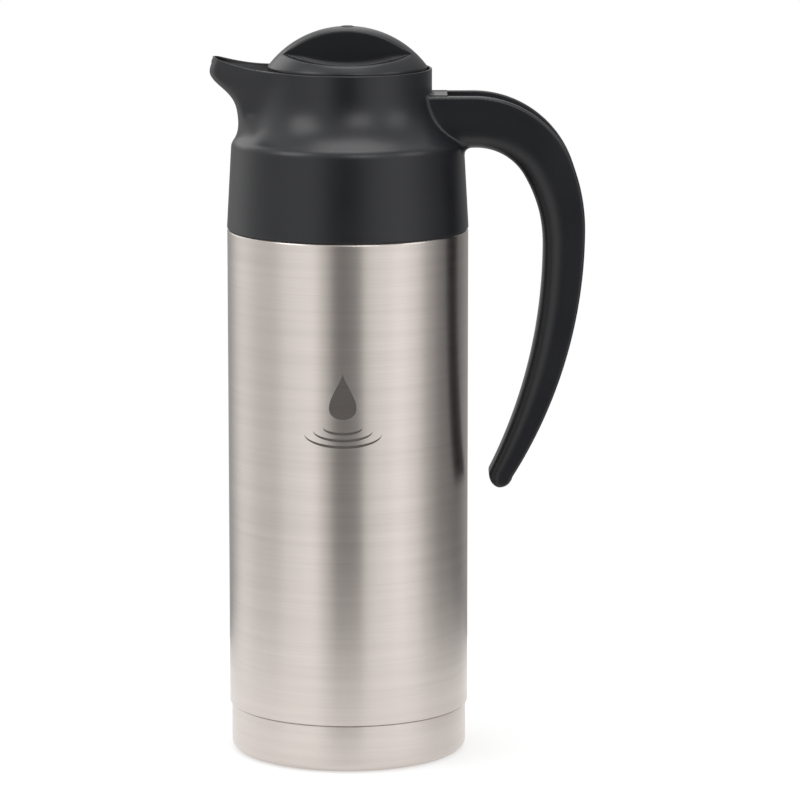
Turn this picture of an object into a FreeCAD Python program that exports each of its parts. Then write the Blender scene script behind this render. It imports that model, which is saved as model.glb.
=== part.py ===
"""Vacuum-insulated serving jug: steel vessel, moulded collar with spout, hook handle and
twist stopper, as separate solids.

Frame: +Z is up, the jug stands on Z = 0 with its axis on Z, the spout points to -X and the
handle to +X.  Lengths are in millimetres and angles in degrees.
"""
import FreeCAD, Part
import math
import os
import re
import Sketcher
from FreeCAD import Vector

# Driving sizes: name, value, what it measures.
SIZES = [
    # steel vessel
    ("body_radius", 48.0, "outside radius of the outer shell"),
    ("steel_wall", 0.7, "wall of every drawn steel part"),
    ("seam_height", 19.5, "height of the shell's lower edge above the table"),
    ("seam_gap", 0.4, "open groove between base cup and outer shell"),
    ("foot_height", 4.0, "height of the shell's foot skirt inside the base cup"),
    ("body_top", 211.7, "top of the visible steel cylinder"),
    ("step_inset", 2.4, "step of the shell under the collar"),
    ("step_round", 0.8, "height of the rolled edge at the top of the cylinder"),
    ("shoulder_rise", 9.3, "height of the step below the shell's dome"),
    ("mouth_radius", 29.0, "outside radius of the vessel's neck"),
    ("mouth_rise", 10.4, "length of the vessel's neck"),
    ("vacuum_gap", 4.5, "evacuated space between shell and liner"),
    ("liner_floor", 13.0, "underside of the liner"),
    ("liner_corner", 9.0, "radius of the liner's bottom corner"),
    ("liner_drop", 4.0, "distance of the liner's dome below the shell's dome"),
    ("neck_gap", 1.3, "space between the two necks"),
    ("lip_depth", 1.0, "welded lip at the mouth"),
    # vacuum bottom and base
    ("plate_height", 6.8, "underside of the vacuum base plate"),
    ("dimple_radius", 8.0, "evacuation dimple in the base plate"),
    ("dimple_depth", 2.0, "depth of the evacuation dimple"),
    ("vent_radius", 3.0, "flat of the dimple that the plug seals"),
    ("getter_radius", 5.0, "getter pellet"),
    ("getter_depth", 1.5, "thickness of the getter pellet"),
    ("getter_offset", 20.0, "distance of the getter from the axis"),
    ("cup_inset", 0.8, "step from the shell in to the base cup"),
    ("cup_corner", 3.2, "radius of the base cup's lower edge"),
    ("cup_lift", 0.3, "height of the base cup's foot ring above the table"),
    ("pad_inset", 9.2, "foot ring of the base cup beside the pad"),
    ("pad_depth", 1.3, "thickness of the non-slip pad"),
    ("cushion_inset", 5.2, "space round the foam disc in the base cup"),
    # collar
    ("seal_depth", 0.6, "sealing ring under the collar"),
    ("collar_proud", 0.1, "step from the shell out to the collar"),
    ("band_taper", 1.68, "how much the collar narrows up to its shoulder"),
    ("collar_wall", 2.6, "wall of the collar"),
    ("neck_over", 4.5, "collar's neck outside the vessel's neck"),
    ("neck_wall", 2.8, "wall of the collar's neck"),
    ("flare_rise", 20.0, "height of the flare's top above the vessel's mouth"),
    ("flare_drop", 23.81, "height of the flare and the shoulder edge below it"),
    ("shoulder_round", 4.5, "radius of the collar's shoulder edge"),
    ("rim_rise", 27.7, "height of the collar's rim above the vessel's mouth"),
    ("rim_wall", 1.0, "rim beside the lid"),
    ("rim_depth", 4.0, "depth of the recess that takes the lid"),
    ("web_rise", 4.0, "height of the collar's inner web above the vessel's mouth"),
    # spout
    ("spout_length", 21.1, "distance of the spout's lip from the neck"),
    ("spout_rise", 4.7, "height of the spout's tip above the rim"),
    ("spout_half_width", 7.0, "half width of the spout's tip"),
    ("spout_root_inset", 12.0, "neck left free beside the root of the spout"),
    ("spout_wall", 2.0, "wall of the spout"),
    ("rim_sweep", 80.0, "radius of the rising rim of the spout"),
    # throat sleeve and its thread
    ("sleeve_wall", 3.1, "wall of the throat sleeve"),
    ("sleeve_rise", 16.0, "height of the sleeve above the vessel's mouth"),
    ("skirt_proud", 1.4, "step from the sleeve out to its clamping skirt"),
    ("skirt_depth", 9.0, "length of the clamping skirt"),
    ("fit_gap", 0.1, "assembly clearance between fixed parts"),
    ("seat_width", 2.9, "width of the sealing seat"),
    ("seat_depth", 2.0, "thickness of the sealing seat"),
    ("gasket_depth", 1.3, "thickness of the mouth gasket"),
    ("thread_lead", 12.0, "rise of the stopper in one turn"),
    ("thread_starts", 3.0, "number of thread ridges on each part"),
    ("thread_depth", 1.4, "height of a thread ridge"),
    ("thread_base", 1.6, "width of a thread ridge at its foot"),
    ("thread_crest", 0.8, "width of a thread ridge at its crest"),
    ("thread_run", 6.0, "axial length of a thread ridge"),
    ("thread_rise", 7.0, "height above the mouth where the sleeve's ridges start"),
    # stopper
    ("thread_room", 2.1, "space between the sleeve's bore and the stopper's core"),
    ("plug_inset", 2.4, "step from the core in to the plug in the neck"),
    ("plug_drop", 10.0, "depth of the plug below the vessel's mouth"),
    ("stopper_wall", 2.0, "wall of the stopper body"),
    ("waist_inset", 1.4, "step from the core in to the waist above it"),
    ("waist_rise", 16.5, "height above the mouth where the waist begins"),
    ("flange_inset", 2.6, "step from the lid in to the flange that carries it"),
    ("flange_depth", 1.8, "thickness of that flange"),
    ("running_fit", 0.08, "clearance of the stopper gasket on the plug"),
    ("stopper_seal", 2.0, "thickness of the stopper gasket"),
    ("seal_room", 1.7, "space between the stopper gasket and the sleeve's bore"),
    ("oring_inset", 3.4, "step from the flange in to the sealing ring"),
    ("oring_width", 1.6, "width of the lid's sealing ring"),
    ("oring_depth", 0.8, "thickness of the lid's sealing ring"),
    # lid
    ("lid_gap", 0.9, "open gap between lid and rim"),
    ("lid_sink", 2.5, "depth of the lid's underside below the rim"),
    ("lid_lift", 0.7, "height of the dome's edge above the rim"),
    ("dome_radius", 39.5, "radius of the dome"),
    ("grip_half", 8.0, "half thickness of the grip ridge"),
    ("grip_wall", 2.2, "wall of the hollow grip ridge"),
    ("scoop_lift", 1.2, "lowest point of a finger scoop above the rim"),
    ("scoop_height", 19.2, "vertical half axis of a finger scoop"),
    ("scoop_length", 36.5, "half axis of a finger scoop along the ridge"),
    ("scoop_width", 42.6, "half axis of a finger scoop across the ridge"),
    ("gate_radius", 2.4, "moulding gate mark at the top of the dome"),
    ("gate_depth", 0.3, "height of the gate mark"),
    # handle
    ("handle_sink", 2.5, "depth of the handle's upper face below the flare's top"),
    ("handle_straight", 2.0, "straight stretch of the upper face beyond the body"),
    ("outer_bend", 42.0, "radius of the outer bend"),
    ("outer_turn", 68.8, "angle of the outer bend"),
    ("outer_side", 73.8, "radius where the outer face turns down"),
    ("outer_drop", 190.0, "radius of the long outer face"),
    ("outer_sweep", 31.8, "angle of the long outer face"),
    ("root_thickness", 20.9, "thickness of the handle at its root"),
    ("inner_bend", 22.0, "radius of the inner bend"),
    ("inner_turn", 59.5, "angle of the inner bend"),
    ("inner_side", 56.7, "radius where the inner face turns down"),
    ("inner_drop", 206.7, "radius of the long inner face"),
    ("inner_sweep", 26.2, "angle of the long inner face"),
    ("tip_round", 4.9, "radius of the handle's free end"),
    ("handle_drop", 158.0, "height over which the handle narrows"),
    ("handle_width", 27.0, "width of the handle at its root"),
    ("tip_width", 18.0, "width of the handle at its free end"),
    ("grip_round", 5.0, "rounding of the handle's inner edges"),
    ("spine_round", 1.2, "rounding of the handle's outer edges"),
    ("handle_rim", 3.4, "rims beside the recess along the spine"),
    ("recess_depth", 4.0, "depth of the recess along the spine"),
    ("recess_land", 6.0, "land between the neck and the recess"),
    ("insert_depth", 2.2, "thickness of the insert in the recess"),
    ("insert_gap", 0.3, "gap beside the insert"),
    # handle screws
    ("screw_drop", 0.16, "depth of the handle's screws below the flare's end"),
    ("screw_offset", 7.0, "distance of each screw from the centre plane"),
    ("screw_radius", 1.5, "shank of a screw"),
    ("screw_head", 2.8, "radius of a screw's head"),
    ("screw_head_depth", 1.8, "height of a screw's head"),
    ("screw_wall", 3.7, "wall between a screw's head and the flare's end"),
    ("screw_length", 14.0, "length of the shank"),
]
NAMES = {name for name, _, _ in SIZES}

# Places that follow from the driving sizes, each a formula of sizes and of places above it.
PLACES = {
    "step_radius": "body_radius - step_inset",
    "shoulder_start": "body_top + shoulder_rise",
    "shoulder_radius": "step_radius - mouth_radius",
    "mouth_height": "shoulder_start + shoulder_radius + mouth_rise",
    "liner_radius": "body_radius - steel_wall - vacuum_gap",
    "liner_neck": "mouth_radius - steel_wall - neck_gap",
    "liner_dome": "liner_radius - liner_neck",
    "liner_shoulder": "shoulder_start - liner_drop",
    "cup_radius": "body_radius - cup_inset",
    "pad_radius": "cup_radius - pad_inset",
    "cushion_radius": "cup_radius - cushion_inset",
    "collar_foot": "body_top + seal_depth",
    "collar_radius": "body_radius + collar_proud",
    "neck_radius": "mouth_radius + neck_over",
    "flare_top": "mouth_height + flare_rise",
    "rim_height": "mouth_height + rim_rise",
    "web_height": "mouth_height + web_rise",
    "band_radius": "body_radius - band_taper",
    "flare_run": "band_radius - neck_radius",
    "flare_angle": "2 * atan(flare_run / flare_drop)",
    "flare_radius": "(flare_drop ^ 2 + flare_run ^ 2) / (2 * flare_run) - shoulder_round",
    "flare_end": "band_radius - shoulder_round * (1 - cos(flare_angle))",
    "flare_floor": "flare_top - flare_radius * sin(flare_angle)",
    "band_top": "flare_top - flare_drop",
    "flare_centre": "neck_radius + flare_radius",
    "inner_flare": "flare_radius + collar_wall",
    "throat_radius": "neck_radius - neck_wall",
    "spout_reach": "neck_radius + spout_length",
    "spout_height": "rim_height + spout_rise",
    "spout_root": "neck_radius - spout_root_inset",
    "sleeve_radius": "throat_radius - fit_gap",
    "sleeve_bore": "sleeve_radius - sleeve_wall",
    "sleeve_top": "mouth_height + sleeve_rise",
    "skirt_radius": "sleeve_radius + skirt_proud",
    "seat_bore": "sleeve_bore - seat_width",
    "seat_floor": "mouth_height + gasket_depth",
    "seat_top": "seat_floor + seat_depth",
    "thread_floor": "mouth_height + thread_rise",
    "core_radius": "sleeve_bore - thread_room",
    "plug_radius": "core_radius - plug_inset",
    "foam_radius": "plug_radius - stopper_wall",
    "plug_floor": "mouth_height - plug_drop",
    "waist_radius": "core_radius - waist_inset",
    "waist_start": "mouth_height + waist_rise",
    "stopper_seat": "seat_top + 2 * running_fit + stopper_seal",
    "seal_radius": "sleeve_bore - seal_room",
    "lid_radius": "neck_radius - rim_wall - lid_gap",
    "lid_floor": "rim_height - lid_sink",
    "lid_edge": "rim_height + lid_lift",
    "dome_rise": "dome_radius - sqrt(dome_radius ^ 2 - lid_radius ^ 2)",
    "dome_centre": "lid_edge + dome_rise - dome_radius",
    "scoop_floor": "rim_height + scoop_lift",
    "flange_radius": "lid_radius - flange_inset",
    "oring_inner": "flange_radius - oring_inset",
    "oring_outer": "oring_inner + oring_width",
    "oring_floor": "lid_floor - oring_depth",
    "handle_top": "flare_top - handle_sink",
    "handle_bend": "body_radius + handle_straight",
    "recess_start": "neck_radius + recess_land",
    "screw_height": "flare_floor - screw_drop",
    "screw_seat": "flare_end - screw_wall",
}

doc = FreeCAD.newDocument("serving_jug")
sheet = doc.addObject("Spreadsheet::Sheet", "Sizes")
for row, (alias, number, note) in enumerate(SIZES, start=1):
    sheet.set("A%d" % row, alias)
    sheet.set("B%d" % row, str(number))
    sheet.set("C%d" % row, note)
    sheet.setAlias("B%d" % row, alias)
doc.recompute()

parts = []


# ---------------------------------------------------------------- helpers

def formula(text):
    """The same text with every place spelt out and every size's name pointing at its cell."""
    def spell_out(match):
        word = match.group()
        if word in PLACES:
            return "(%s)" % formula(PLACES[word])
        return "Sizes." + word if word in NAMES else word
    return re.sub(r"[a-z_]+", spell_out, text)


def value(text):
    """The number that a formula of sizes gives now."""
    return float(sheet.evalExpression(formula(text)))


def bind(thing, **settings):
    """Bind properties to formulas of sizes."""
    for name, text in settings.items():
        thing.setExpression(name, formula(text))


def new_body(name):
    """A body that becomes one part, under its own label."""
    body = doc.addObject("PartDesign::Body", name)
    body.Label = name
    parts.append(body)
    return body


def plane_of(body, role):
    """One of the body's own origin planes."""
    return next(plane for plane in body.Origin.OriginFeatures if plane.Role == role)


def new_sketch(body, name, role="XZ_Plane", lift=None):
    """An empty sketch on an origin plane, lifted along its normal by a formula."""
    sketch = body.newObject("Sketcher::SketchObject", name)
    sketch.AttachmentSupport = [(plane_of(body, role), "")]
    sketch.MapMode = "FlatFace"
    if lift:
        sketch.setExpression("AttachmentOffset.Base.z", formula(lift))
    doc.recompute()
    return sketch


def arc_middle(start, end, radius):
    """The middle of the arc from start to end; a positive radius bulges to the right."""
    chord = end - start
    half = chord.Length / 2
    sagitta = abs(radius) - math.sqrt(max(radius * radius - half * half, 0.0))
    side = Vector(chord.y, -chord.x, 0).normalize()
    return (start + end) * 0.5 + side * math.copysign(sagitta, radius)


def outline(sketch, corners):
    """A closed outline through corners (x, y) or (x, y, side, radius), all formulas.

    A corner with a radius starts an arc to the next corner.  Its side is +1 where the arc
    bulges to the right of the way, and -1 where it bulges to the left.
    """
    spots = [Vector(value(corner[0]), value(corner[1]), 0) for corner in corners]
    edges = []
    for index, corner in enumerate(corners):
        start = spots[index]
        end = spots[(index + 1) % len(spots)]
        if len(corner) == 2:
            edges.append(Part.LineSegment(start, end))
        else:
            middle = arc_middle(start, end, corner[2] * value(corner[3]))
            edges.append(Part.Arc(start, middle, end))
    ids = sketch.addGeometry(edges, False)

    def end_near(edge, spot):
        return min((1, 2), key=lambda end: (sketch.getPoint(edge, end) - spot).Length)

    starts = [end_near(edge, spot) for edge, spot in zip(ids, spots)]
    for index, edge in enumerate(ids):
        after = (index + 1) % len(ids)
        sketch.addConstraint(Sketcher.Constraint(
            "Coincident", edge, 3 - starts[index], ids[after], starts[after]))
    for index, (corner, spot) in enumerate(zip(corners, spots)):
        pin_corner(sketch, ids[index], starts[index], corner, spot, index)
    return ids


def pin_corner(sketch, edge, end, corner, spot, index):
    """Fix one corner of an outline, and its arc, to the formulas."""
    for kind, axis, text, number in (("DistanceX", -2, corner[0], spot.x),
                                     ("DistanceY", -1, corner[1], spot.y)):
        if text == "0":
            sketch.addConstraint(Sketcher.Constraint("PointOnObject", edge, end, axis))
            continue
        place = sketch.addConstraint(Sketcher.Constraint(kind, -1, 1, edge, end, number))
        sketch.renameConstraint(place, "%s_%d" % (kind, index))
        sketch.setExpression("Constraints.%s_%d" % (kind, index), formula(text))
    if len(corner) == 4:
        radius = sketch.addConstraint(Sketcher.Constraint("Radius", edge, value(corner[3])))
        sketch.renameConstraint(radius, "Radius_%d" % index)
        sketch.setExpression("Constraints.Radius_%d" % index, formula(corner[3]))


def turn(body, name, corners, kind="PartDesign::Revolution"):
    """Revolve an outline in the XZ plane about the axis of the jug."""
    sketch = new_sketch(body, name + "_outline")
    outline(sketch, corners)
    feature = body.newObject(kind, name)
    feature.Profile = sketch
    feature.ReferenceAxis = (sketch, ["V_Axis"])
    feature.Angle = 360.0
    doc.recompute()
    return feature


def turned_part(name, corners):
    """A part that is one revolved outline."""
    body = new_body(name)
    turn(body, name + "_turned", corners)
    return body


def primitive(kind, name, **settings):
    """A Part primitive with its sizes and place bound to formulas."""
    thing = doc.addObject(kind, name)
    for key, text in settings.items():
        target = "Placement.Base." + key if key in ("x", "y", "z") else key
        thing.setExpression(target, formula(text))
    return thing


def boolean(kind, name, base, tool):
    """A Part cut, fuse or common of two objects."""
    thing = doc.addObject("Part::" + kind, name)
    thing.Base = base
    thing.Tool = tool
    doc.recompute()
    return thing


def finish_part(thing, name):
    """Label a built object as a part of the jug."""
    thing.Label = name
    parts.append(thing)
    return thing


# ---------------------------------------------------------------- steel vessel

def build_outer_shell():
    """Brushed outer wall with its shoulder and neck, open at the bottom."""
    turned_part("outer_shell", [
        ("cup_radius - steel_wall", "foot_height"),
        ("cup_radius - steel_wall", "seam_height"),
        ("body_radius - 0.2", "seam_height"),
        ("body_radius", "seam_height + 0.2"),
        ("body_radius", "body_top - step_round", 1, "step_round"),
        ("body_radius - step_round", "body_top"),
        ("step_radius", "body_top"),
        ("step_radius", "shoulder_start", 1, "shoulder_radius"),
        ("mouth_radius", "shoulder_start + shoulder_radius"),
        ("mouth_radius", "mouth_height"),
        ("mouth_radius - steel_wall", "mouth_height"),
        ("mouth_radius - steel_wall", "shoulder_start + shoulder_radius - steel_wall",
         -1, "shoulder_radius"),
        ("step_radius - steel_wall", "shoulder_start - steel_wall"),
        ("step_radius - steel_wall", "body_top - steel_wall"),
        ("body_radius - steel_wall", "body_top - steel_wall - step_round"),
        ("body_radius - steel_wall", "seam_height + steel_wall"),
        ("cup_radius - 2 * steel_wall", "seam_height + steel_wall"),
        ("cup_radius - 2 * steel_wall", "foot_height"),
    ])


def build_inner_liner():
    """Food-side wall of the vessel, with a lip welded to the outer neck."""
    turned_part("inner_liner", [
        ("0", "liner_floor"),
        ("liner_radius - liner_corner", "liner_floor", 1, "liner_corner"),
        ("liner_radius", "liner_floor + liner_corner"),
        ("liner_radius", "liner_shoulder", 1, "liner_dome"),
        ("liner_neck", "liner_shoulder + liner_dome"),
        ("liner_neck", "mouth_height - lip_depth"),
        ("mouth_radius - steel_wall", "mouth_height - lip_depth"),
        ("mouth_radius - steel_wall", "mouth_height"),
        ("liner_neck - steel_wall", "mouth_height"),
        ("liner_neck - steel_wall", "liner_shoulder + liner_dome - steel_wall", -1, "liner_dome"),
        ("liner_radius - steel_wall", "liner_shoulder - steel_wall"),
        ("liner_radius - steel_wall", "liner_floor + liner_corner", -1, "liner_corner - steel_wall"),
        ("liner_radius - liner_corner", "liner_floor + steel_wall"),
        ("0", "liner_floor + steel_wall"),
    ])


def build_vacuum_bottom():
    """Base plate with its evacuation dimple, the plug that seals it and the getter."""
    foot = "cup_radius - 2 * steel_wall"
    turned_part("base_plate", [
        ("vent_radius / 3", "plate_height + dimple_depth"),
        ("vent_radius", "plate_height + dimple_depth"),
        ("dimple_radius", "plate_height"),
        ("%s - steel_wall" % foot, "plate_height"),
        ("%s - steel_wall" % foot, "foot_height"),
        (foot, "foot_height"),
        (foot, "plate_height + steel_wall"),
        ("dimple_radius", "plate_height + steel_wall"),
        ("vent_radius", "plate_height + dimple_depth + steel_wall"),
        ("vent_radius / 3", "plate_height + dimple_depth + steel_wall"),
    ])
    turned_part("evacuation_plug", [
        ("0", "plate_height + dimple_depth / 2"),
        ("vent_radius / 2", "plate_height + dimple_depth / 2"),
        ("vent_radius", "plate_height + dimple_depth"),
        ("0", "plate_height + dimple_depth"),
    ])
    getter = primitive("Part::Cylinder", "getter", Radius="getter_radius", Height="getter_depth",
                       x="getter_offset", z="liner_floor - getter_depth")
    finish_part(getter, "getter")


def build_base():
    """Base cup, foam cushion above its floor and non-slip pad below it."""
    turned_part("base_cup", [
        ("pad_radius + fit_gap", "cup_lift"),
        ("cup_radius - cup_corner", "cup_lift", 1, "cup_corner"),
        ("cup_radius", "cup_lift + cup_corner"),
        ("cup_radius", "seam_height - seam_gap"),
        ("cup_radius - steel_wall", "seam_height - seam_gap"),
        ("cup_radius - steel_wall", "cup_lift + cup_corner", -1, "cup_corner - steel_wall"),
        ("cup_radius - cup_corner", "cup_lift + steel_wall"),
        ("pad_radius + fit_gap + steel_wall", "cup_lift + steel_wall"),
        ("pad_radius + fit_gap + steel_wall", "pad_depth + steel_wall"),
        ("0", "pad_depth + steel_wall"),
        ("0", "pad_depth"),
        ("pad_radius + fit_gap", "pad_depth"),
    ])
    turned_part("base_cushion", [
        ("dimple_radius + 1", "pad_depth + steel_wall"),
        ("cushion_radius", "pad_depth + steel_wall"),
        ("cushion_radius", "plate_height"),
        ("dimple_radius + 1", "plate_height"),
    ])
    pad = primitive("Part::Cylinder", "base_pad", Radius="pad_radius", Height="pad_depth")
    finish_part(pad, "base_pad")


# ---------------------------------------------------------------- collar

def collar_outside():
    """Outline of the collar as a solid block, from the axis outward."""
    return [
        ("0", "collar_foot"),
        ("collar_radius", "collar_foot"),
        ("band_radius", "band_top", 1, "shoulder_round"),
        ("flare_end", "flare_floor", -1, "flare_radius"),
        ("neck_radius", "flare_top"),
        ("neck_radius", "rim_height - 0.5"),
        ("neck_radius - 0.4", "rim_height"),
        ("0", "rim_height"),
    ]


def collar_inside():
    """Outline of what is hollowed out of that block."""
    return [
        ("0", "body_top"),
        ("step_radius + 0.05", "body_top"),
        ("step_radius + 0.05", "shoulder_start"),
        ("band_radius - collar_wall", "band_top"),
        ("flare_centre - inner_flare * cos(flare_angle)", "flare_top - inner_flare * sin(flare_angle)",
         -1, "inner_flare"),
        ("flare_centre - sqrt(inner_flare ^ 2 - (flare_top - web_height) ^ 2)", "web_height"),
        ("throat_radius", "web_height"),
        ("throat_radius", "rim_height - rim_depth"),
        ("neck_radius - rim_wall", "rim_height - rim_depth"),
        ("neck_radius - rim_wall", "rim_height + 1"),
        ("0", "rim_height + 1"),
    ]


# Spout sections from the lip down: height below the rim, how far the section stops short of
# the lip's reach, and the shares of the tip's and the root's half widths.
SPOUT_SECTIONS = [
    (-6.5, 2.4, 1.00, 1.00),
    (2.2, 0.0, 1.00, 1.00),
    (5.2, 1.7, 0.94, 0.98),
    (9.7, 7.0, 0.86, 0.95),
    (14.7, 10.0, 0.78, 0.86),
    (20.7, 11.2, 0.70, 0.66),
    (27.0, 11.0, 0.60, 0.45),
]
CHANNEL_SECTIONS = [
    (-7.5, 2.4, 1.00, 1.00),
    (0.5, 0.3, 1.00, 1.00),
    (4.0, 7.0, 0.86, 0.95),
    (7.5, 13.5, 0.78, 0.86),
    (11.0, 20.5, 0.70, 0.70),
]
SPOUT_ROOT_REACH = "(neck_radius - 11.5)"
TIP_BULGE = 0.42


def spout_loft(body, name, kind, sections, wall):
    """Loft horizontal sections of the spout, each narrowed all round by a wall."""
    sketches = []
    for index, (drop, short, tip_share, root_share) in enumerate(sections):
        sketch = new_sketch(body, "%s_section_%d" % (name, index), "XY_Plane",
                            "rim_height - (%g)" % drop)
        tip = "(spout_half_width * %g - %s)" % (tip_share, wall)
        root = "(spout_root * %g - %s)" % (root_share, wall)
        reach = "(spout_reach - %g - %s - %s * %g)" % (short, wall, tip, TIP_BULGE)
        bulge = "(%s * (1 / %g + %g) / 2)" % (tip, TIP_BULGE, TIP_BULGE)
        outline(sketch, [
            ("-%s" % SPOUT_ROOT_REACH, root),
            ("-%s" % reach, tip, 1, bulge),
            ("-%s" % reach, "-%s" % tip),
            ("-%s" % SPOUT_ROOT_REACH, "-%s" % root),
        ])
        sketches.append(sketch)
    doc.recompute()
    loft = body.newObject(kind, name)
    loft.Profile = sketches[0]
    loft.Sections = sketches[1:]
    loft.Ruled = False
    doc.recompute()
    return loft


def build_collar():
    """Moulded collar: tapered band, flare, neck, spout and the holes for the handle's screws."""
    body = new_body("collar")
    turn(body, "collar_block", collar_outside())
    spout_loft(body, "spout", "PartDesign::AdditiveLoft", SPOUT_SECTIONS, "0")
    trim = new_sketch(body, "spout_rim_outline")
    outline(trim, [
        ("-(neck_radius - 2.5)", "rim_height", -1, "rim_sweep"),
        ("-(spout_reach - 1.6)", "spout_height"),
        ("-(spout_reach + 8)", "spout_height + 3"),
        ("-(spout_reach + 8)", "spout_height + 9"),
        ("0", "spout_height + 9"),
        ("0", "rim_height"),
    ])
    rim_cut = body.newObject("PartDesign::Pocket", "spout_rim")
    rim_cut.Profile = trim
    rim_cut.Type = "ThroughAll"
    rim_cut.Midplane = True
    doc.recompute()
    turn(body, "collar_hollow", collar_inside(), "PartDesign::Groove")
    spout_loft(body, "channel", "PartDesign::SubtractiveLoft", CHANNEL_SECTIONS, "spout_wall")
    for name, radius, start, depth in (
            ("screw_passage", "screw_radius + fit_gap", "body_radius + 4", "body_radius"),
            ("screw_counterbore", "screw_head + 0.4", "screw_seat", "screw_head_depth + 3")):
        sketch = new_sketch(body, name + "_circles", "YZ_Plane", start)
        for side in (-1, 1):
            add_circle(sketch, "%d * screw_offset" % side, "screw_height", radius)
        pocket = body.newObject("PartDesign::Pocket", name)
        pocket.Profile = sketch
        bind(pocket, Length=depth)
        pocket.Reversed = False
        doc.recompute()
    return body


def add_circle(sketch, x_text, y_text, radius_text):
    """A circle whose centre and radius follow formulas."""
    centre = Vector(value(x_text), value(y_text), 0)
    circle = sketch.addGeometry(Part.Circle(centre, Vector(0, 0, 1), value(radius_text)), False)
    for kind, text, number in (("DistanceX", x_text, centre.x), ("DistanceY", y_text, centre.y)):
        place = sketch.addConstraint(Sketcher.Constraint(kind, -1, 1, circle, 3, number))
        sketch.renameConstraint(place, "%s_%d" % (kind, circle))
        sketch.setExpression("Constraints.%s_%d" % (kind, circle), formula(text))
    radius = sketch.addConstraint(Sketcher.Constraint("Radius", circle, value(radius_text)))
    sketch.renameConstraint(radius, "Radius_%d" % circle)
    sketch.setExpression("Constraints.Radius_%d" % circle, formula(radius_text))


def build_collar_seal():
    """Thin sealing ring between the collar and the rolled edge of the shell."""
    turned_part("collar_seal_ring", [
        ("step_radius", "body_top"),
        ("body_radius - step_round", "body_top"),
        ("body_radius - step_round", "body_top + seal_depth"),
        ("step_radius", "body_top + seal_depth"),
    ])


# ---------------------------------------------------------------- throat

def add_thread(body, name, radius, floor, outward):
    """Helical ridges on a cylinder, one for each start of the thread."""
    side = 1 if outward else -1
    root = "(%s) - %d * 0.2" % (radius, side)
    crest = "(%s) + %d * thread_depth" % (radius, side)
    sketch = new_sketch(body, name + "_profile")
    outline(sketch, [
        (root, "%s - thread_base / 2" % floor),
        (crest, "%s - thread_crest / 2" % floor),
        (crest, "%s + thread_crest / 2" % floor),
        (root, "%s + thread_base / 2" % floor),
    ])
    helix = body.newObject("PartDesign::AdditiveHelix", name)
    helix.Profile = sketch
    helix.ReferenceAxis = (sketch, ["V_Axis"])
    helix.Mode = "pitch-height-angle"
    bind(helix, Pitch="thread_lead", Height="thread_run")
    helix.LeftHanded = False
    helix.Reversed = False
    doc.recompute()
    pattern = body.newObject("PartDesign::PolarPattern", name + "_starts")
    pattern.Originals = [helix]
    pattern.Axis = (sketch, ["V_Axis"])
    pattern.Angle = 360.0
    bind(pattern, Occurrences="thread_starts")
    body.Tip = pattern
    doc.recompute()
    return pattern


def build_throat():
    """Mouth gasket and the sleeve that clamps the collar and takes the stopper's thread."""
    turned_part("mouth_gasket", [
        ("liner_neck", "mouth_height"),
        ("mouth_radius", "mouth_height"),
        ("mouth_radius", "seat_floor"),
        ("liner_neck", "seat_floor"),
    ])
    body = turned_part("throat_sleeve", [
        ("seat_bore", "seat_floor"),
        ("mouth_radius + fit_gap", "seat_floor"),
        ("mouth_radius + fit_gap", "mouth_height - skirt_depth"),
        ("skirt_radius", "mouth_height - skirt_depth"),
        ("skirt_radius", "web_height"),
        ("sleeve_radius", "web_height"),
        ("sleeve_radius", "sleeve_top"),
        ("sleeve_bore", "sleeve_top"),
        ("sleeve_bore", "seat_top"),
        ("seat_bore", "seat_top"),
    ])
    add_thread(body, "sleeve_thread", "sleeve_bore", "thread_floor", False)


# ---------------------------------------------------------------- stopper

def build_stopper():
    """Threaded stopper body, the foam inside it, its gasket and the lid's sealing ring."""
    body = turned_part("stopper_body", [
        ("0", "plug_floor"),
        ("plug_radius", "plug_floor"),
        ("plug_radius", "stopper_seat"),
        ("core_radius", "stopper_seat"),
        ("core_radius", "waist_start"),
        ("waist_radius", "waist_start"),
        ("waist_radius", "lid_floor - flange_depth"),
        ("flange_radius", "lid_floor - flange_depth"),
        ("flange_radius", "lid_floor"),
        ("oring_outer", "lid_floor"),
        ("oring_outer", "oring_floor"),
        ("oring_inner", "oring_floor"),
        ("oring_inner", "lid_floor"),
        ("foam_radius", "lid_floor"),
        ("foam_radius", "plug_floor + stopper_wall"),
        ("0", "plug_floor + stopper_wall"),
    ])
    half_pitch = "thread_lead / thread_starts / 2"
    add_thread(body, "stopper_thread", "core_radius", "(thread_floor + %s)" % half_pitch, True)
    turned_part("stopper_foam", [
        ("0", "plug_floor + stopper_wall"),
        ("foam_radius", "plug_floor + stopper_wall"),
        ("foam_radius", "lid_floor"),
        ("0", "lid_floor"),
    ])
    turned_part("stopper_gasket", [
        ("plug_radius + running_fit", "seat_top + running_fit"),
        ("seal_radius", "seat_top + running_fit"),
        ("seal_radius", "seat_top + running_fit + stopper_seal"),
        ("plug_radius + running_fit", "seat_top + running_fit + stopper_seal"),
    ])
    turned_part("lid_sealing_ring", [
        ("oring_inner", "oring_floor"),
        ("oring_outer", "oring_floor"),
        ("oring_outer", "lid_floor"),
        ("oring_inner", "lid_floor"),
    ])


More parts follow.
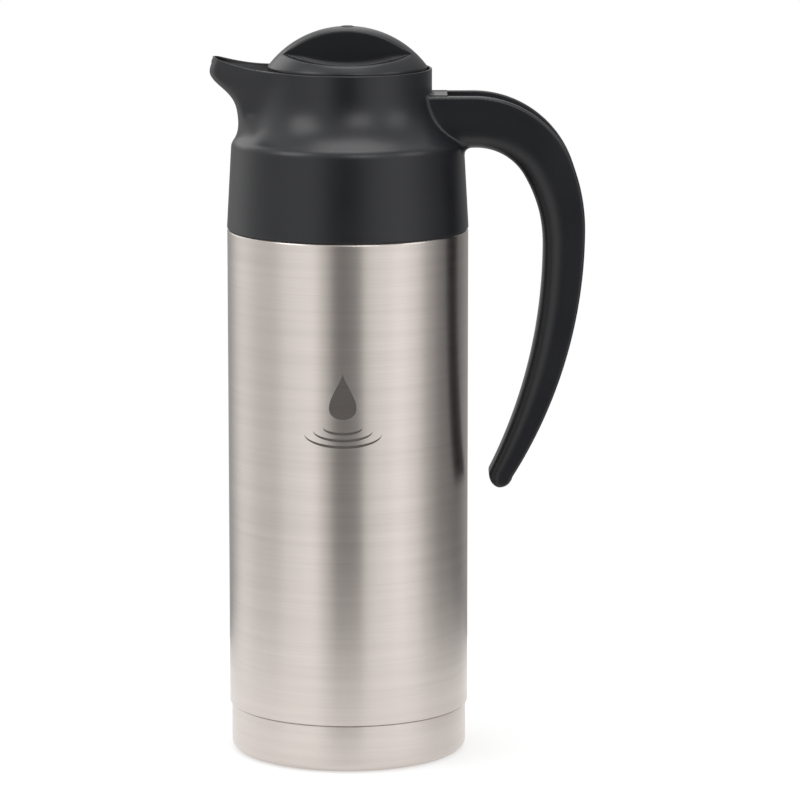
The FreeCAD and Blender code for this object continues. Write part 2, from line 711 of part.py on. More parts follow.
def build_lid():
    """Domed lid with two finger scoops that leave a grip ridge in line with the spout."""
    dome = primitive("Part::Sphere", "lid_ball", Radius="dome_radius", z="dome_centre")
    column = primitive("Part::Cylinder", "lid_column", Radius="lid_radius", Height="dome_radius",
                       z="lid_floor")
    lid = boolean("Common", "lid_blank", dome, column)
    gate = primitive("Part::Cylinder", "lid_gate", Radius="gate_radius", Height="gate_depth + 1",
                     z="lid_edge + dome_rise - 1")
    lid = boolean("Fuse", "lid_with_gate", lid, gate)
    for side, corner in ((-1, "-(grip_half + scoop_width)"), (1, "grip_half")):
        label = "near" if side < 0 else "far"
        bowl = primitive("Part::Ellipsoid", "scoop_bowl_" + label, Radius1="scoop_height",
                         Radius2="scoop_length", Radius3="scoop_width",
                         y="%d * grip_half" % side, z="scoop_floor + scoop_height")
        block = primitive("Part::Box", "scoop_block_" + label, Length="2 * scoop_length",
                          Width="scoop_width", Height="3 * scoop_height",
                          x="-scoop_length", y=corner, z="lid_floor")
        scoop = boolean("Common", "scoop_" + label, bowl, block)
        lid = boolean("Cut", "lid_scooped_" + label, lid, scoop)
    ball = primitive("Part::Sphere", "grip_ball", Radius="dome_radius - grip_wall", z="dome_centre")
    slot = primitive("Part::Box", "grip_slot", Length="2 * scoop_length",
                     Width="2 * (grip_half - grip_wall)", Height="dome_radius",
                     x="-scoop_length", y="grip_wall - grip_half", z="lid_floor")
    bore = primitive("Part::Cylinder", "grip_bore", Radius="foam_radius",
                     Height="dome_radius", z="lid_floor - 1")
    cavity = boolean("Common", "grip_cavity", boolean("Common", "grip_core", ball, slot), bore)
    finish_part(boolean("Cut", "lid_cap", lid, cavity), "lid_cap")


# ---------------------------------------------------------------- handle

def along(point, heading, radius, sweep, side):
    """Where an arc ends: start, heading in degrees, radius, sweep, and side +1 for clockwise."""
    normal = math.radians(heading - 90 * side)
    centre = point + Vector(math.cos(normal), 0, math.sin(normal)) * radius
    angle = math.radians(heading + 90 * side - sweep * side)
    middle = math.radians(heading + 90 * side - sweep * side / 2)
    end = centre + Vector(math.cos(angle), 0, math.sin(angle)) * radius
    half = centre + Vector(math.cos(middle), 0, math.sin(middle)) * radius
    return end, half, heading - sweep * side


def handle_face(start, bends, inset=0.0):
    """Tangent arcs from a point that heads along +X, all turning down, moved in by an inset."""
    point = start - Vector(0, 0, inset)
    heading = 0.0
    edges = []
    for radius, sweep in bends:
        end, half, heading = along(point, heading, radius - inset, sweep, 1)
        edges.append(Part.Arc(point, half, end))
        point = end
    return edges, point


def outer_bends():
    """Radius and sweep of each arc of the handle's outer face."""
    return [(value("outer_bend"), value("outer_turn")),
            (value("outer_side"), 90 - value("outer_turn")),
            (value("outer_drop"), value("outer_sweep"))]


def inner_bends():
    """Radius and sweep of each arc of the handle's inner face."""
    return [(value("inner_bend"), value("inner_turn")),
            (value("inner_side"), 90 - value("inner_turn")),
            (value("inner_drop"), value("inner_sweep"))]


def side_plate(edges, half_width):
    """A plate between two planes of constant Y from a closed outline in the XZ plane."""
    wire = Part.Wire(Part.__sortEdges__([edge.toShape() for edge in edges]))
    face = Part.Face(wire)
    face.translate(Vector(0, -half_width, 0))
    return face.extrude(Vector(0, 2 * half_width, 0))


def taper_block(narrow):
    """What the front view leaves of the handle, each side narrowed by a rim."""
    top = value("handle_top")
    floor = top - value("handle_drop")
    wide = value("handle_width / 2") - narrow
    slim = value("tip_width / 2") - narrow
    corners = [(wide, top), (slim, floor), (-slim, floor), (-wide, top)]
    points = [Vector(0, y, z) for y, z in corners]
    face = Part.Face(Part.makePolygon(points + points[:1]))
    return face.extrude(Vector(value("body_radius") * 3, 0, 0))


def spine_strip(top_inset, floor_inset, start, trim, narrow):
    """A strip that follows the handle's outer face between two depths."""
    top = Vector(value("handle_bend"), 0, value("handle_top"))
    bends = outer_bends()
    bends[-1] = (bends[-1][0], bends[-1][1] - trim)
    upper, upper_end = handle_face(top, bends, top_inset)
    lower, lower_end = handle_face(top, bends, floor_inset)
    first_up = Vector(start, 0, top.z - top_inset)
    first_low = Vector(start, 0, top.z - floor_inset)
    edges = [Part.LineSegment(first_up, Vector(top.x, 0, first_up.z))] + upper
    edges += [Part.LineSegment(upper_end, lower_end)] + lower
    edges += [Part.LineSegment(Vector(top.x, 0, first_low.z), first_low)]
    edges += [Part.LineSegment(first_low, first_up)]
    return side_plate(edges, value("handle_width")).common(taper_block(narrow))


def screw_bars(radius, start, length):
    """Cylinders along X on the two screw axes."""
    bars = []
    for side in (-1, 1):
        centre = Vector(start, side * value("screw_offset"), value("screw_height"))
        bars.append(Part.makeCylinder(radius, length, centre, Vector(1, 0, 0)))
    return bars


def round_edges(solid, radius, face_line):
    """Round the side edges of the handle whose side view lies on a line of arcs."""
    edges = []
    for edge in solid.Edges:
        spot = edge.valueAt((edge.FirstParameter + edge.LastParameter) / 2)
        side_view = Part.Vertex(spot.x, 0, spot.z)
        if abs(spot.y) > 4 and side_view.distToShape(face_line)[0] < 0.01:
            edges.append(edge)
    return solid.makeFillet(radius, edges)


def feature(name, shape):
    """A part whose shape comes from Part's own functions."""
    thing = doc.addObject("Part::Feature", name)
    thing.Shape = shape
    thing.Placement = FreeCAD.Placement()
    return finish_part(thing, name)


def build_handle(collar_block):
    """Hook handle with a recess along its spine, the insert in it and the two screws."""
    top = Vector(value("handle_bend"), 0, value("handle_top"))
    under = Vector(top.x + 1, 0, top.z - value("root_thickness"))
    outer, outer_end = handle_face(top, outer_bends())
    inner, inner_end = handle_face(under, inner_bends())
    root = value("neck_radius") - 6
    down = (outer_end - inner_end).normalize()
    tip = (outer_end + inner_end) * 0.5 + Vector(down.z, 0, -down.x) * value("tip_round")
    edges = [Part.LineSegment(Vector(root, 0, top.z), top)] + outer
    edges += [Part.Arc(outer_end, tip, inner_end)] + inner
    edges += [Part.LineSegment(under, Vector(root, 0, under.z)),
              Part.LineSegment(Vector(root, 0, under.z), Vector(root, 0, top.z))]
    blank = side_plate(edges, value("handle_width")).common(taper_block(0.0))

    inner_line = Part.Wire([edge.toShape() for edge in inner])
    outer_line = Part.Wire([edge.toShape() for edge in outer])
    blank = round_edges(blank, value("grip_round"), inner_line)
    blank = round_edges(blank, value("spine_round"), outer_line)
    rim = value("handle_rim")
    depth = value("recess_depth")
    start = value("recess_start")
    recess = spine_strip(-2.0, depth, start, 3.0, rim)
    handle = blank.cut(recess).cut(collar_block)
    shank = value("screw_radius")
    seat = value("screw_seat")
    length = value("screw_length")
    handle = handle.cut(Part.makeCompound(screw_bars(shank, seat, length)))
    feature("handle", handle)
    gap = value("insert_gap")
    insert = spine_strip(depth - value("insert_depth"), depth, start + gap, 3.0 + gap / 2, rim + gap)
    feature("handle_insert", insert)
    head_depth = value("screw_head_depth")
    heads = screw_bars(value("screw_head"), seat - head_depth, head_depth)
    screws = [bar.fuse(head) for bar, head in zip(screw_bars(shank, seat, length), heads)]
    feature("handle_screws", Part.makeCompound([screw.removeSplitter() for screw in screws]))


# ---------------------------------------------------------------- build, check, write

build_outer_shell()
build_inner_liner()
build_vacuum_bottom()
build_base()
collar = build_collar()
build_collar_seal()
build_throat()
build_stopper()
build_lid()
build_handle(collar.getObject("collar_block").Shape)
doc.recompute()

for thing in doc.Objects:
    failed = [state for state in thing.State if state in ("Invalid", "Error")]
    if failed:
        raise RuntimeError("%s did not build: %s" % (thing.Label, thing.State))
os.makedirs("parts", exist_ok=True)
for part in parts:
    if part.Shape.isNull() or not part.Shape.isValid():
        raise RuntimeError("%s has no valid shape" % part.Label)
    part.Shape.exportStep("parts/%s.step" % part.Label)
    box = part.Shape.BoundBox
    print("%-18s %d solid(s) %10.1f mm3   x %.1f..%.1f  y %.1f..%.1f  z %.1f..%.1f" % (
        part.Label, len(part.Shape.Solids), part.Shape.Volume,
        box.XMin, box.XMax, box.YMin, box.YMax, box.ZMin, box.ZMax))
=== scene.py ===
"""Vacuum-insulated serving jug: brushed steel vessel, moulded collar with a pouring spout, hook
handle with a recessed insert, and a domed twist stopper.

Laid out as an add-on and run as a script.  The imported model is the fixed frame: +Z is up, the
jug stands on Z = 0 with its axis on Z, the spout points to -X and the handle to +X.  Shapes are
worked out in millimetres and turned to metres when they become a mesh.
"""
import math

import bmesh
import bpy
import numpy as np
from bpy.props import FloatProperty, FloatVectorProperty, PointerProperty, StringProperty
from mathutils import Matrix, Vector


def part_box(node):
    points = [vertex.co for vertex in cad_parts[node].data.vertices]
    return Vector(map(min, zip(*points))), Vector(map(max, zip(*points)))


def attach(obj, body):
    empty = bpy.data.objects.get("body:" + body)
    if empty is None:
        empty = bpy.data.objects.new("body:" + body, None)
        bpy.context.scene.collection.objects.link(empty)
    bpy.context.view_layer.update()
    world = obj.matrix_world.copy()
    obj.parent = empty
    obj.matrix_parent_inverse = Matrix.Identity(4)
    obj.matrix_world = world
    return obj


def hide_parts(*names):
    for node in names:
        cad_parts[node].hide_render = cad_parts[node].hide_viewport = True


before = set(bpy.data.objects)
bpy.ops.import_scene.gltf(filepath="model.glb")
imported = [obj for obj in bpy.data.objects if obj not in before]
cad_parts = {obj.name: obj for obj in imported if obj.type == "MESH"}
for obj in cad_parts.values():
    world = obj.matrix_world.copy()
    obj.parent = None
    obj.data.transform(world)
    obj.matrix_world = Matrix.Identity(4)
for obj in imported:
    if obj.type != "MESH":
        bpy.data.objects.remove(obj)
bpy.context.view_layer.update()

bl_info = {
    "name": "Serving jug",
    "version": (1, 0, 0),
    "blender": (4, 5, 0),
    "location": "View3D > Sidebar > Jug",
    "description": "Makes the visible pieces of a vacuum-insulated serving jug",
    "category": "Object",
}

MM = 0.001


def in_mm(node):
    """Lowest and highest corner of a CAD node, in millimetres."""
    low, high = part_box(node)
    return np.array(low) / MM, np.array(high) / MM


SHELL_LOW, SHELL_HIGH = in_mm("outer_shell")
CUP_LOW, CUP_HIGH = in_mm("base_cup")
COLLAR_LOW, COLLAR_HIGH = in_mm("collar")
LID_LOW, LID_HIGH = in_mm("lid_cap")
PAD_HIGH = in_mm("base_pad")[1]
SEAL_LOW = in_mm("collar_seal_ring")[0]
SEAL_RADIUS = -SEAL_LOW[0]
SLEEVE_TOP = in_mm("throat_sleeve")[1][2]


# ---------------------------------------------------------------- settings

def length(name, description, default, low, precision=4):
    """A length in metres that the user can change, no smaller than low."""
    return FloatProperty(name=name, description=description, default=default, min=low,
                         unit="LENGTH", precision=precision)


def factor(name, description, default, low):
    """A share between low and one that the user can change."""
    return FloatProperty(name=name, description=description, default=default, min=low, max=1.0,
                         subtype="FACTOR")


class JugSteel(bpy.types.PropertyGroup):
    """Finish of the brushed steel."""
    tone: StringProperty(name="Tone", description="sRGB hex of the steel", default="d6cec8")
    dark_tone: StringProperty(name="Dark tone", description="sRGB hex in the scratches",
                              default="cdc5bf")
    roughness: factor("Roughness", "Mean roughness of the brushing", 0.31, 0.05)
    stretch: factor("Stretch", "How much the brushing stretches gloss", 0.8, 0.0)
    line: length("Line width", "Width of the drawn brush lines", 0.0006, 0.0001, 5)


class JugPlastic(bpy.types.PropertyGroup):
    """Finish of the moulded plastic."""
    tone: StringProperty(name="Tone", description="sRGB hex of the plastic", default="121317")
    pale_tone: StringProperty(name="Pale tone", description="sRGB hex of its clouding",
                              default="16171b")
    roughness: factor("Roughness", "Mean roughness of the moulded skin", 0.34, 0.05)
    grain: length("Grain", "Width of the mould's drawn grain", 0.0004, 0.0001, 5)


class JugSpout(bpy.types.PropertyGroup):
    """Sizes of the spout and of its root."""
    half_width: length("Tip half width", "Half width of the lip", 0.007, 0.002)
    root: length("Root half width", "Half width beside the neck", 0.0215, 0.01)
    wall: length("Wall", "Wall of the spout", 0.002, 0.0005)
    blend: length("Root blend", "Width of the hollow beside the spout", 0.007, 0.001)


class JugHandle(bpy.types.PropertyGroup):
    """Sizes of the handle."""
    root_width: length("Root width", "Width where it leaves the collar", 0.027, 0.01)
    tip_width: length("Tip width", "Width at the free end", 0.018, 0.008)
    rim: length("Rim", "Rims beside the recess", 0.0034, 0.001)
    recess: length("Recess", "Depth of the recess along the spine", 0.004, 0.001)
    root_blend: length("Root blend", "Rounding against the collar", 0.0014, 0.0002)


class JugLid(bpy.types.PropertyGroup):
    """Sizes of the lid."""
    dome: length("Dome radius", "Radius of the dome", 0.0395, 0.033)
    ridge: length("Ridge half width", "Half width of the grip ridge", 0.008, 0.003)
    edge_round: length("Ridge edge", "Rounding of the ridge's edges", 0.0012, 0.0002)
    foot_round: length("Ridge foot", "Hollow at the ridge's foot", 0.0026, 0.0002)


class JugSign(bpy.types.PropertyGroup):
    """Droplet sign on the front."""
    tone: StringProperty(name="Tone", description="sRGB hex of the darkened steel",
                         default="57524f")
    place: FloatVectorProperty(name="Place", description="Distance round the jug and height",
                               default=(-0.0017, 0.1467), size=2, unit="LENGTH", precision=4)
    width: length("Width", "Width of the widest ripple", 0.031, 0.01)


class JugStage(bpy.types.PropertyGroup):
    """Camera and light."""
    camera: FloatVectorProperty(name="Camera", description="Place of the camera", size=3,
                                default=(0.0165, -1.8, 0.4617), subtype="XYZ", unit="LENGTH")
    aim: FloatVectorProperty(name="Aim", description="Point that the camera looks at", size=3,
                             default=(0.0208, 0.0, 0.1421), subtype="XYZ", unit="LENGTH")
    lens: FloatProperty(name="Lens", description="Focal length on a 36 mm sensor",
                        default=205.1, min=20.0, unit="CAMERA")
    floor: FloatProperty(name="Floor", description="Radius of the pale floor",
                         default=0.20, min=0.1, unit="LENGTH")
    level: FloatProperty(name="Light level", description="Strength of the room's light",
                         default=1.0, min=0.0)


GROUPS = {
    "steel": JugSteel,
    "plastic": JugPlastic,
    "spout": JugSpout,
    "handle": JugHandle,
    "lid": JugLid,
    "sign": JugSign,
    "stage": JugStage,
}


def settings(group):
    """One of the scene's groups of settings."""
    return getattr(bpy.context.scene, "jug_" + group)


# ---------------------------------------------------------------- meshes

MERGE = 2e-7             # metres within which doubles are merged
SLIVER = 1e-7            # metres under which an edge is dissolved
SHARP = 35.0             # degrees of turn past which an edge stays crisp
STRAIGHT = 1e-3          # radians by which a straight corner may be off


def grid_quads(rows, columns, loop):
    """Corner numbers of the quads between neighbours on a grid whose columns close into rings.

    The rows close into a loop too where loop is true.
    """
    index = np.arange(rows * columns).reshape(rows, columns)
    after = np.roll(index, -1, axis=1)
    last = rows if loop else rows - 1
    below, below_after = (np.roll(numbers, -1, axis=0)[:last] for numbers in (index, after))
    return np.stack([index[:last], after[:last], below_after, below], axis=-1).reshape(-1, 4)


def new_object(name, data):
    """An object at the origin, linked to the scene."""
    made = bpy.data.objects.new(name, data)
    bpy.context.scene.collection.objects.link(made)
    return made


def new_piece(name, points, body, material, replaced=(), ring_rows=True):
    """A closed piece from a grid of points in millimetres.

    points[row, column] is a closed ring in its columns.  Its rows close into a loop too if
    ring_rows is true; otherwise the first and last row each shrink to a point or a seam, which
    merging the doubles closes.
    """
    mesh = bpy.data.meshes.new(name)
    mesh.from_pydata((points.reshape(-1, 3) * MM).tolist(), [],
                     grid_quads(*points.shape[:2], ring_rows).tolist())
    shape = bmesh.new()
    shape.from_mesh(mesh)
    bmesh.ops.remove_doubles(shape, verts=shape.verts, dist=MERGE)
    bmesh.ops.dissolve_degenerate(shape, edges=shape.edges, dist=SLIVER)
    bmesh.ops.recalc_face_normals(shape, faces=shape.faces)
    if shape.calc_volume(signed=True) < 0:
        bmesh.ops.reverse_faces(shape, faces=shape.faces)
    open_edges = [edge for edge in shape.edges if not edge.is_manifold]
    shape.to_mesh(mesh)
    shape.free()
    if open_edges:
        raise RuntimeError("%s has %d open edges" % (name, len(open_edges)))
    mesh.shade_smooth()
    mesh.set_sharp_from_angle(angle=math.radians(SHARP))
    mesh.materials.append(material)
    piece = new_object(name, mesh)
    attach(piece, body)
    if replaced:
        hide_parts(*replaced)
    return piece


def rounded(corners, steps=6):
    """A closed outline through corners (x, z, radius), each corner rounded by its radius.

    The round is the circle tangent to both sides: it starts radius / tan(half the corner's
    angle) before the corner, and is sampled at equal steps of its sweep.
    """
    spots = np.array([corner[:2] for corner in corners], float)
    made = []
    for number, (_, _, radius) in enumerate(corners):
        here = spots[number]
        back = spots[number - 1] - here
        ahead = spots[(number + 1) % len(spots)] - here
        back /= np.linalg.norm(back)
        ahead /= np.linalg.norm(ahead)
        half = math.acos(np.clip(back @ ahead, -1, 1)) / 2
        if radius == 0 or abs(half - math.pi / 2) < STRAIGHT:
            made.append(here[None])
            continue
        axis = (back + ahead) / np.linalg.norm(back + ahead)
        centre = here + axis * radius / math.sin(half)
        first = here + back * radius / math.tan(half) - centre
        last = here + ahead * radius / math.tan(half) - centre
        sweep = math.atan2(first[0] * last[1] - first[1] * last[0], first @ last)
        angle = np.linspace(0, sweep, steps)[:, None]
        sideways = np.array([-first[1], first[0]])
        made.append(centre + first * np.cos(angle) + sideways * np.sin(angle))
    return np.concatenate(made)


def turned(outline, columns=288):
    """The outline carried round the axis: (r, z) becomes (r cos a, r sin a, z)."""
    angle = np.linspace(0, 2 * math.pi, columns, endpoint=False)
    radius, height = outline[:, 0, None], outline[:, 1, None]
    return np.stack([radius * np.cos(angle), radius * np.sin(angle),
                     height + 0 * angle], axis=-1)


def smooth_least(first, second, width):
    """The smaller of two numbers, blended where they differ by less than a width.

    The blend takes width * h^3 / 6 off the smaller one, with h = 1 - |difference| / width.
    """
    share = np.clip(1 - np.abs(first - second) / width, 0, None)
    return np.minimum(first, second) - width * share ** 3 / 6


def smooth_through(knots, values, places):
    """Natural cubic spline through (knots, values), read at the places."""
    knots, values = np.asarray(knots, float), np.asarray(values, float)
    gap = np.diff(knots)
    size = len(knots)
    system = np.eye(size)
    right = np.zeros(size)
    inner = np.arange(1, size - 1)
    system[inner, inner - 1] = gap[:-1]
    system[inner, inner] = 2 * (gap[:-1] + gap[1:])
    system[inner, inner + 1] = gap[1:]
    slope = np.diff(values) / gap
    right[inner] = 6 * np.diff(slope)
    bend = np.linalg.solve(system, right)
    places = np.clip(places, knots[0], knots[-1])
    left = np.clip(np.searchsorted(knots, places) - 1, 0, size - 2)
    width = gap[left]
    low, high = knots[left + 1] - places, places - knots[left]
    return ((bend[left] * low ** 3 + bend[left + 1] * high ** 3) / (6 * width)
            + (values[left] / width - bend[left] * width / 6) * low
            + (values[left + 1] / width - bend[left + 1] * width / 6) * high)


def stretches(ends, counts):
    """Numbers from the first end to the last: a count of them, both included, from end to end."""
    runs = [np.linspace(low, high, count)[:-1]
            for low, high, count in zip(ends[:-1], ends[1:], counts)]
    return np.concatenate(runs + [[ends[-1]]])


# ---------------------------------------------------------------- steel vessel

STEEL_WALL = 0.7
SHOULDER = 16.6          # radius of the shell's shoulder up to the neck
SHOULDER_START = 221.0
MOUTH_DROP = 16.0        # from the throat sleeve's top down to the steel mouth
SEAL_SEAT = 1.6          # how far the shoulder stands inside the seal ring
SEAM = 0.4               # open seam between the base cup and the shell
INNER_SLANT = 20.0       # drop of the shoulder's hidden side
FINE_EDGE = 0.1
MOUTH_EDGE = 0.2
STEP_EDGE = 0.3
ROLL = 0.25              # rolled edges at the seam and under the cup
TOP_ROLL = 0.8           # rolled edge under the collar
CUP_ROUND = 3.2          # lower edge of the cup
CUP_TOP_EDGE = 0.2
PAD_GAP = 0.1
PAD_DISH = (9.0, 0.35)   # radius and depth of the hollow in the pad's middle
GROOVE_FIRST, GROOVE_PITCH = 14.0, 4.0
GROOVE_WIDTH, GROOVE_DEPTH = 1.2, 0.5


def shell_outline():
    """Wall of the outer shell: foot skirt, straight side, rolled top edge, shoulder, neck."""
    foot = CUP_HIGH[0] - STEEL_WALL
    side, seam, top = SHELL_HIGH[0], CUP_HIGH[2] + SEAM, SEAL_LOW[2]
    step, mouth = SEAL_RADIUS - SEAL_SEAT, SLEEVE_TOP - MOUTH_DROP
    neck = step - SHOULDER
    bend = SHOULDER_START + SHOULDER
    return rounded([
        (foot, SHELL_LOW[2], FINE_EDGE), (foot, seam, 0), (side, seam, ROLL),
        (side, top, TOP_ROLL), (step, top, STEP_EDGE), (step, bend, SHOULDER),
        (neck, mouth, MOUTH_EDGE), (neck - STEEL_WALL, mouth, MOUTH_EDGE),
        (neck - STEEL_WALL, bend - STEEL_WALL, SHOULDER),
        (step - STEEL_WALL, bend - STEEL_WALL - INNER_SLANT, 0),
        (step - STEEL_WALL, top - STEEL_WALL, 0),
        (side - STEEL_WALL, top - STEEL_WALL - TOP_ROLL, 0),
        (side - STEEL_WALL, seam + STEEL_WALL, 0), (foot - STEEL_WALL, seam + STEEL_WALL, 0),
        (foot - STEEL_WALL, SHELL_LOW[2], FINE_EDGE),
    ], steps=10)


def cup_outline():
    """Wall of the base cup: rolled lower edge, foot ring and raised floor over the pad."""
    side, top, low = CUP_HIGH[0], CUP_HIGH[2], CUP_LOW[2]
    pad = PAD_HIGH[0] + PAD_GAP
    floor = PAD_HIGH[2]
    return rounded([
        (0, floor, 0), (pad, floor, CUP_TOP_EDGE), (pad, low, ROLL), (side, low, CUP_ROUND),
        (side, top, ROLL), (side - STEEL_WALL, top, CUP_TOP_EDGE),
        (side - STEEL_WALL, low + STEEL_WALL, CUP_ROUND - STEEL_WALL),
        (pad + STEEL_WALL, low + STEEL_WALL, FINE_EDGE),
        (pad + STEEL_WALL, floor + STEEL_WALL, FINE_EDGE),
        (0, floor + STEEL_WALL, 0),
    ], steps=9)


def pad_outline():
    """Non-slip pad: a disc whose underside has rings of shallow round-bottomed grooves."""
    radius, top = PAD_HIGH[0], PAD_HIGH[2]
    dish, deep = PAD_DISH
    corners = [(0, deep, 0), (dish, deep, 0.15), (dish, 0, 0.2)]
    for groove in np.arange(GROOVE_FIRST, radius - GROOVE_PITCH, GROOVE_PITCH):
        end = groove + GROOVE_WIDTH
        corners += [(groove, 0, 0.2), (groove, GROOVE_DEPTH, 0.25), (end, GROOVE_DEPTH, 0.25),
                    (end, 0, 0.2)]
    corners += [(radius, 0, 0.4), (radius, top, 0.2), (0, top, 0)]
    return rounded(corners, steps=4)


# ---------------------------------------------------------------- collar

BAND_TOP = 244.19        # top of the tapered band
BAND_RADIUS = 46.32
SHOULDER_ROUND = 4.5
FLARE_TOP = 268.0
NECK = 33.5              # outside radius of the collar's neck
RIM = 275.7              # height of the rim beside the lid
RIM_WALL = 1.0
RECESS_FLOOR = 271.7
THROAT = 30.7
WEB = 252.0
COLLAR_WALL = 2.6
RIM_SWEEP = 80.0         # radius of the rising rim of the spout
LIP = (-53.0, 280.4)     # where the rim ends above the lip
SPOUT_START = -31.0
NOSE = 0.42              # bulge of the lip over its half width
ROOT_FORWARD = 22.0      # where the spout's sides begin to close
SPOUT_BACK = 10.0        # where its sections end, well inside the neck
NOSE_BLEND = 1.6         # width of the blend between the spout's sides and its front
CHANNEL_BLEND = 1.2      # and between the channel and the bore
BLEND_RISE = 12.0        # height over which the root's blend grows to its full width
BLEND_LEAST = 0.25       # share of that width that it starts with
WALL_SPAN = (15.0, 70.0)            # radii between which every wall of the collar lies
RIM_SPAN = (RIM - 3.0, RIM + 8.0)   # heights between which the rim lies
RIM_PAST = 4.0           # how far past the lip the rim's arc is followed
RIM_EDGE = 0.4           # rounding of the rim and the foot
HALVINGS = 34            # rounds of halving that find a wall
CROWDING = 0.62          # how strongly the columns crowd at the spout
WALL_SHARES = (0.0, 0.36, 0.5, 1.0)     # stretches of the outer wall, with more rows higher up
WALL_ROWS = (8, 16, 62)
CHANNEL_DEPTH = 9.5      # how far the bore is followed below the recess's floor
SHELL_CLEARANCE = 0.05
# Radius and height down the flare's inside, which the vessel hides.
FLARE_INSIDE = ((36.24, WEB), (37.6, 250.2), (39.6, 248.0), (42.87, 245.77))

# Spout from the lip down: height, reach, and the shares of the lip's and the root's half width.
SPOUT_FORM = np.array([
    (282.2, 52.2, 1.00, 1.00), (277.5, 53.9, 1.00, 1.00), (273.5, 54.5, 0.99, 1.00),
    (270.5, 52.6, 0.96, 0.98), (266.0, 47.8, 0.92, 0.95), (261.5, 44.7, 0.98, 0.92),
    (257.5, 43.7, 1.25, 0.92), (254.0, 43.4, 1.90, 1.02), (250.0, 43.8, 2.50, 1.10),
    (246.5, 44.4, 2.70, 1.12), (240.0, 40.0, 2.80, 1.12),
])[::-1]
CHANNEL_FORM = np.array([
    (283.2, 52.4, 1.00, 1.00), (275.2, 54.2, 1.00, 1.00), (271.7, 47.6, 0.86, 0.95),
    (268.2, 41.1, 0.78, 0.86), (264.7, 34.1, 0.70, 0.70), (260.0, 24.6, 0.60, 0.50),
])[::-1]


def collar_turned(height):
    """Radius of the collar without its spout: taper, shoulder round, flare and neck."""
    run = BAND_RADIUS - NECK
    drop = FLARE_TOP - BAND_TOP
    flare = (drop ** 2 + run ** 2) / (2 * run) - SHOULDER_ROUND
    sweep = 2 * math.atan(run / drop)
    flare_floor = FLARE_TOP - flare * math.sin(sweep)
    foot = COLLAR_LOW[2]
    share = (height - foot) / (BAND_TOP - foot)
    band = COLLAR_HIGH[1] + (BAND_RADIUS - COLLAR_HIGH[1]) * share
    rise = np.clip(height - BAND_TOP, 0, SHOULDER_ROUND)
    shoulder = BAND_RADIUS - SHOULDER_ROUND + np.sqrt(SHOULDER_ROUND ** 2 - rise ** 2)
    fall = np.clip(FLARE_TOP - height, 0, flare)
    hollow = NECK + flare - np.sqrt(flare ** 2 - fall ** 2)
    return np.where(height < BAND_TOP, band, np.where(height < flare_floor, shoulder, hollow))


def spout_distance(radius, angle, height, form, wall):
    """How far a point lies outside the spout's level section, walls moved in by a wall.

    In plan the two sides close from the root to the lip and run level behind the root, and
    the lip's front is forward = reach - NOSE aside^2 / lip.  The distance is the largest of
    those to the side, to the front (these two blended) and to a line across the jug.
    """
    spout = settings("spout")
    table = [smooth_through(form[:, 0], form[:, column], height) for column in (1, 2, 3)]
    lip = spout.half_width / MM * table[1] - wall
    root = spout.root / MM * table[2] - wall
    reach = table[0] - wall
    forward, aside = radius * np.cos(angle), np.abs(radius * np.sin(angle))
    run = np.maximum(reach - lip * NOSE - ROOT_FORWARD, 1.0)
    fall = root - lip
    ahead = np.maximum(forward - ROOT_FORWARD, 0)
    side = ((aside - root) * run + ahead * fall) / np.hypot(run, fall)
    bulge = NOSE / lip
    front = (forward - reach + bulge * aside ** 2) / np.hypot(1, 2 * bulge * aside)
    return np.maximum(-smooth_least(-side, -front, NOSE_BLEND), SPOUT_BACK - forward)


def halve(outside, low, high):
    """Where a rising function of one array crosses zero, found by halving the span."""
    for _ in range(HALVINGS):
        middle = (low + high) / 2
        beyond = outside(middle) > 0
        low, high = np.where(beyond, low, middle), np.where(beyond, middle, high)
    return (low + high) / 2


def collar_radius(angle, height):
    """Outer radius of the collar: the turned shape and the spout, blended where they meet."""
    blend = settings("spout").blend / MM
    step = 0.05
    plain = collar_turned(height)
    slope = (collar_turned(height + step) - collar_turned(height - step)) / (2 * step)
    width = blend * np.clip((height - BAND_TOP) / BLEND_RISE, BLEND_LEAST, 1)
    return halve(lambda radius: smooth_least(
        (radius - plain) / np.hypot(1, slope),
        spout_distance(radius, angle, height, SPOUT_FORM, 0.0), width),
        *(np.full(plain.shape, limit) for limit in WALL_SPAN))


def channel_radius(angle, height, bore):
    """Inner radius of the collar: a round bore and the pouring channel, blended."""
    wall = settings("spout").wall / MM
    shape = np.broadcast(angle, height).shape
    return halve(lambda radius: smooth_least(
        radius - bore, spout_distance(radius, angle, height, CHANNEL_FORM, wall),
        CHANNEL_BLEND), *(np.full(shape, limit) for limit in WALL_SPAN))


def rim_height(forward):
    """Height of the rim: level round the lid, then an arc that sweeps up to the lip."""
    start = np.array([SPOUT_START, RIM])
    chord = np.array(LIP) - start
    length = np.linalg.norm(chord)
    normal = np.array([-chord[1], chord[0]]) / -length
    centre = (start + chord / 2) + normal * math.sqrt(RIM_SWEEP ** 2 - length ** 2 / 4)
    along = np.clip(-forward, LIP[0] - RIM_PAST, SPOUT_START)
    arc = centre[1] - np.sqrt(RIM_SWEEP ** 2 - (along - centre[0]) ** 2)
    return np.where(-forward < SPOUT_START, arc, RIM)


def rim_edge(angle, radius_at):
    """Height at which a wall meets the rim: where z equals the rim's height over that wall."""
    return halve(lambda height: height - rim_height(radius_at(height) * np.cos(angle)),
                 *(np.full(angle.shape, limit) for limit in RIM_SPAN))


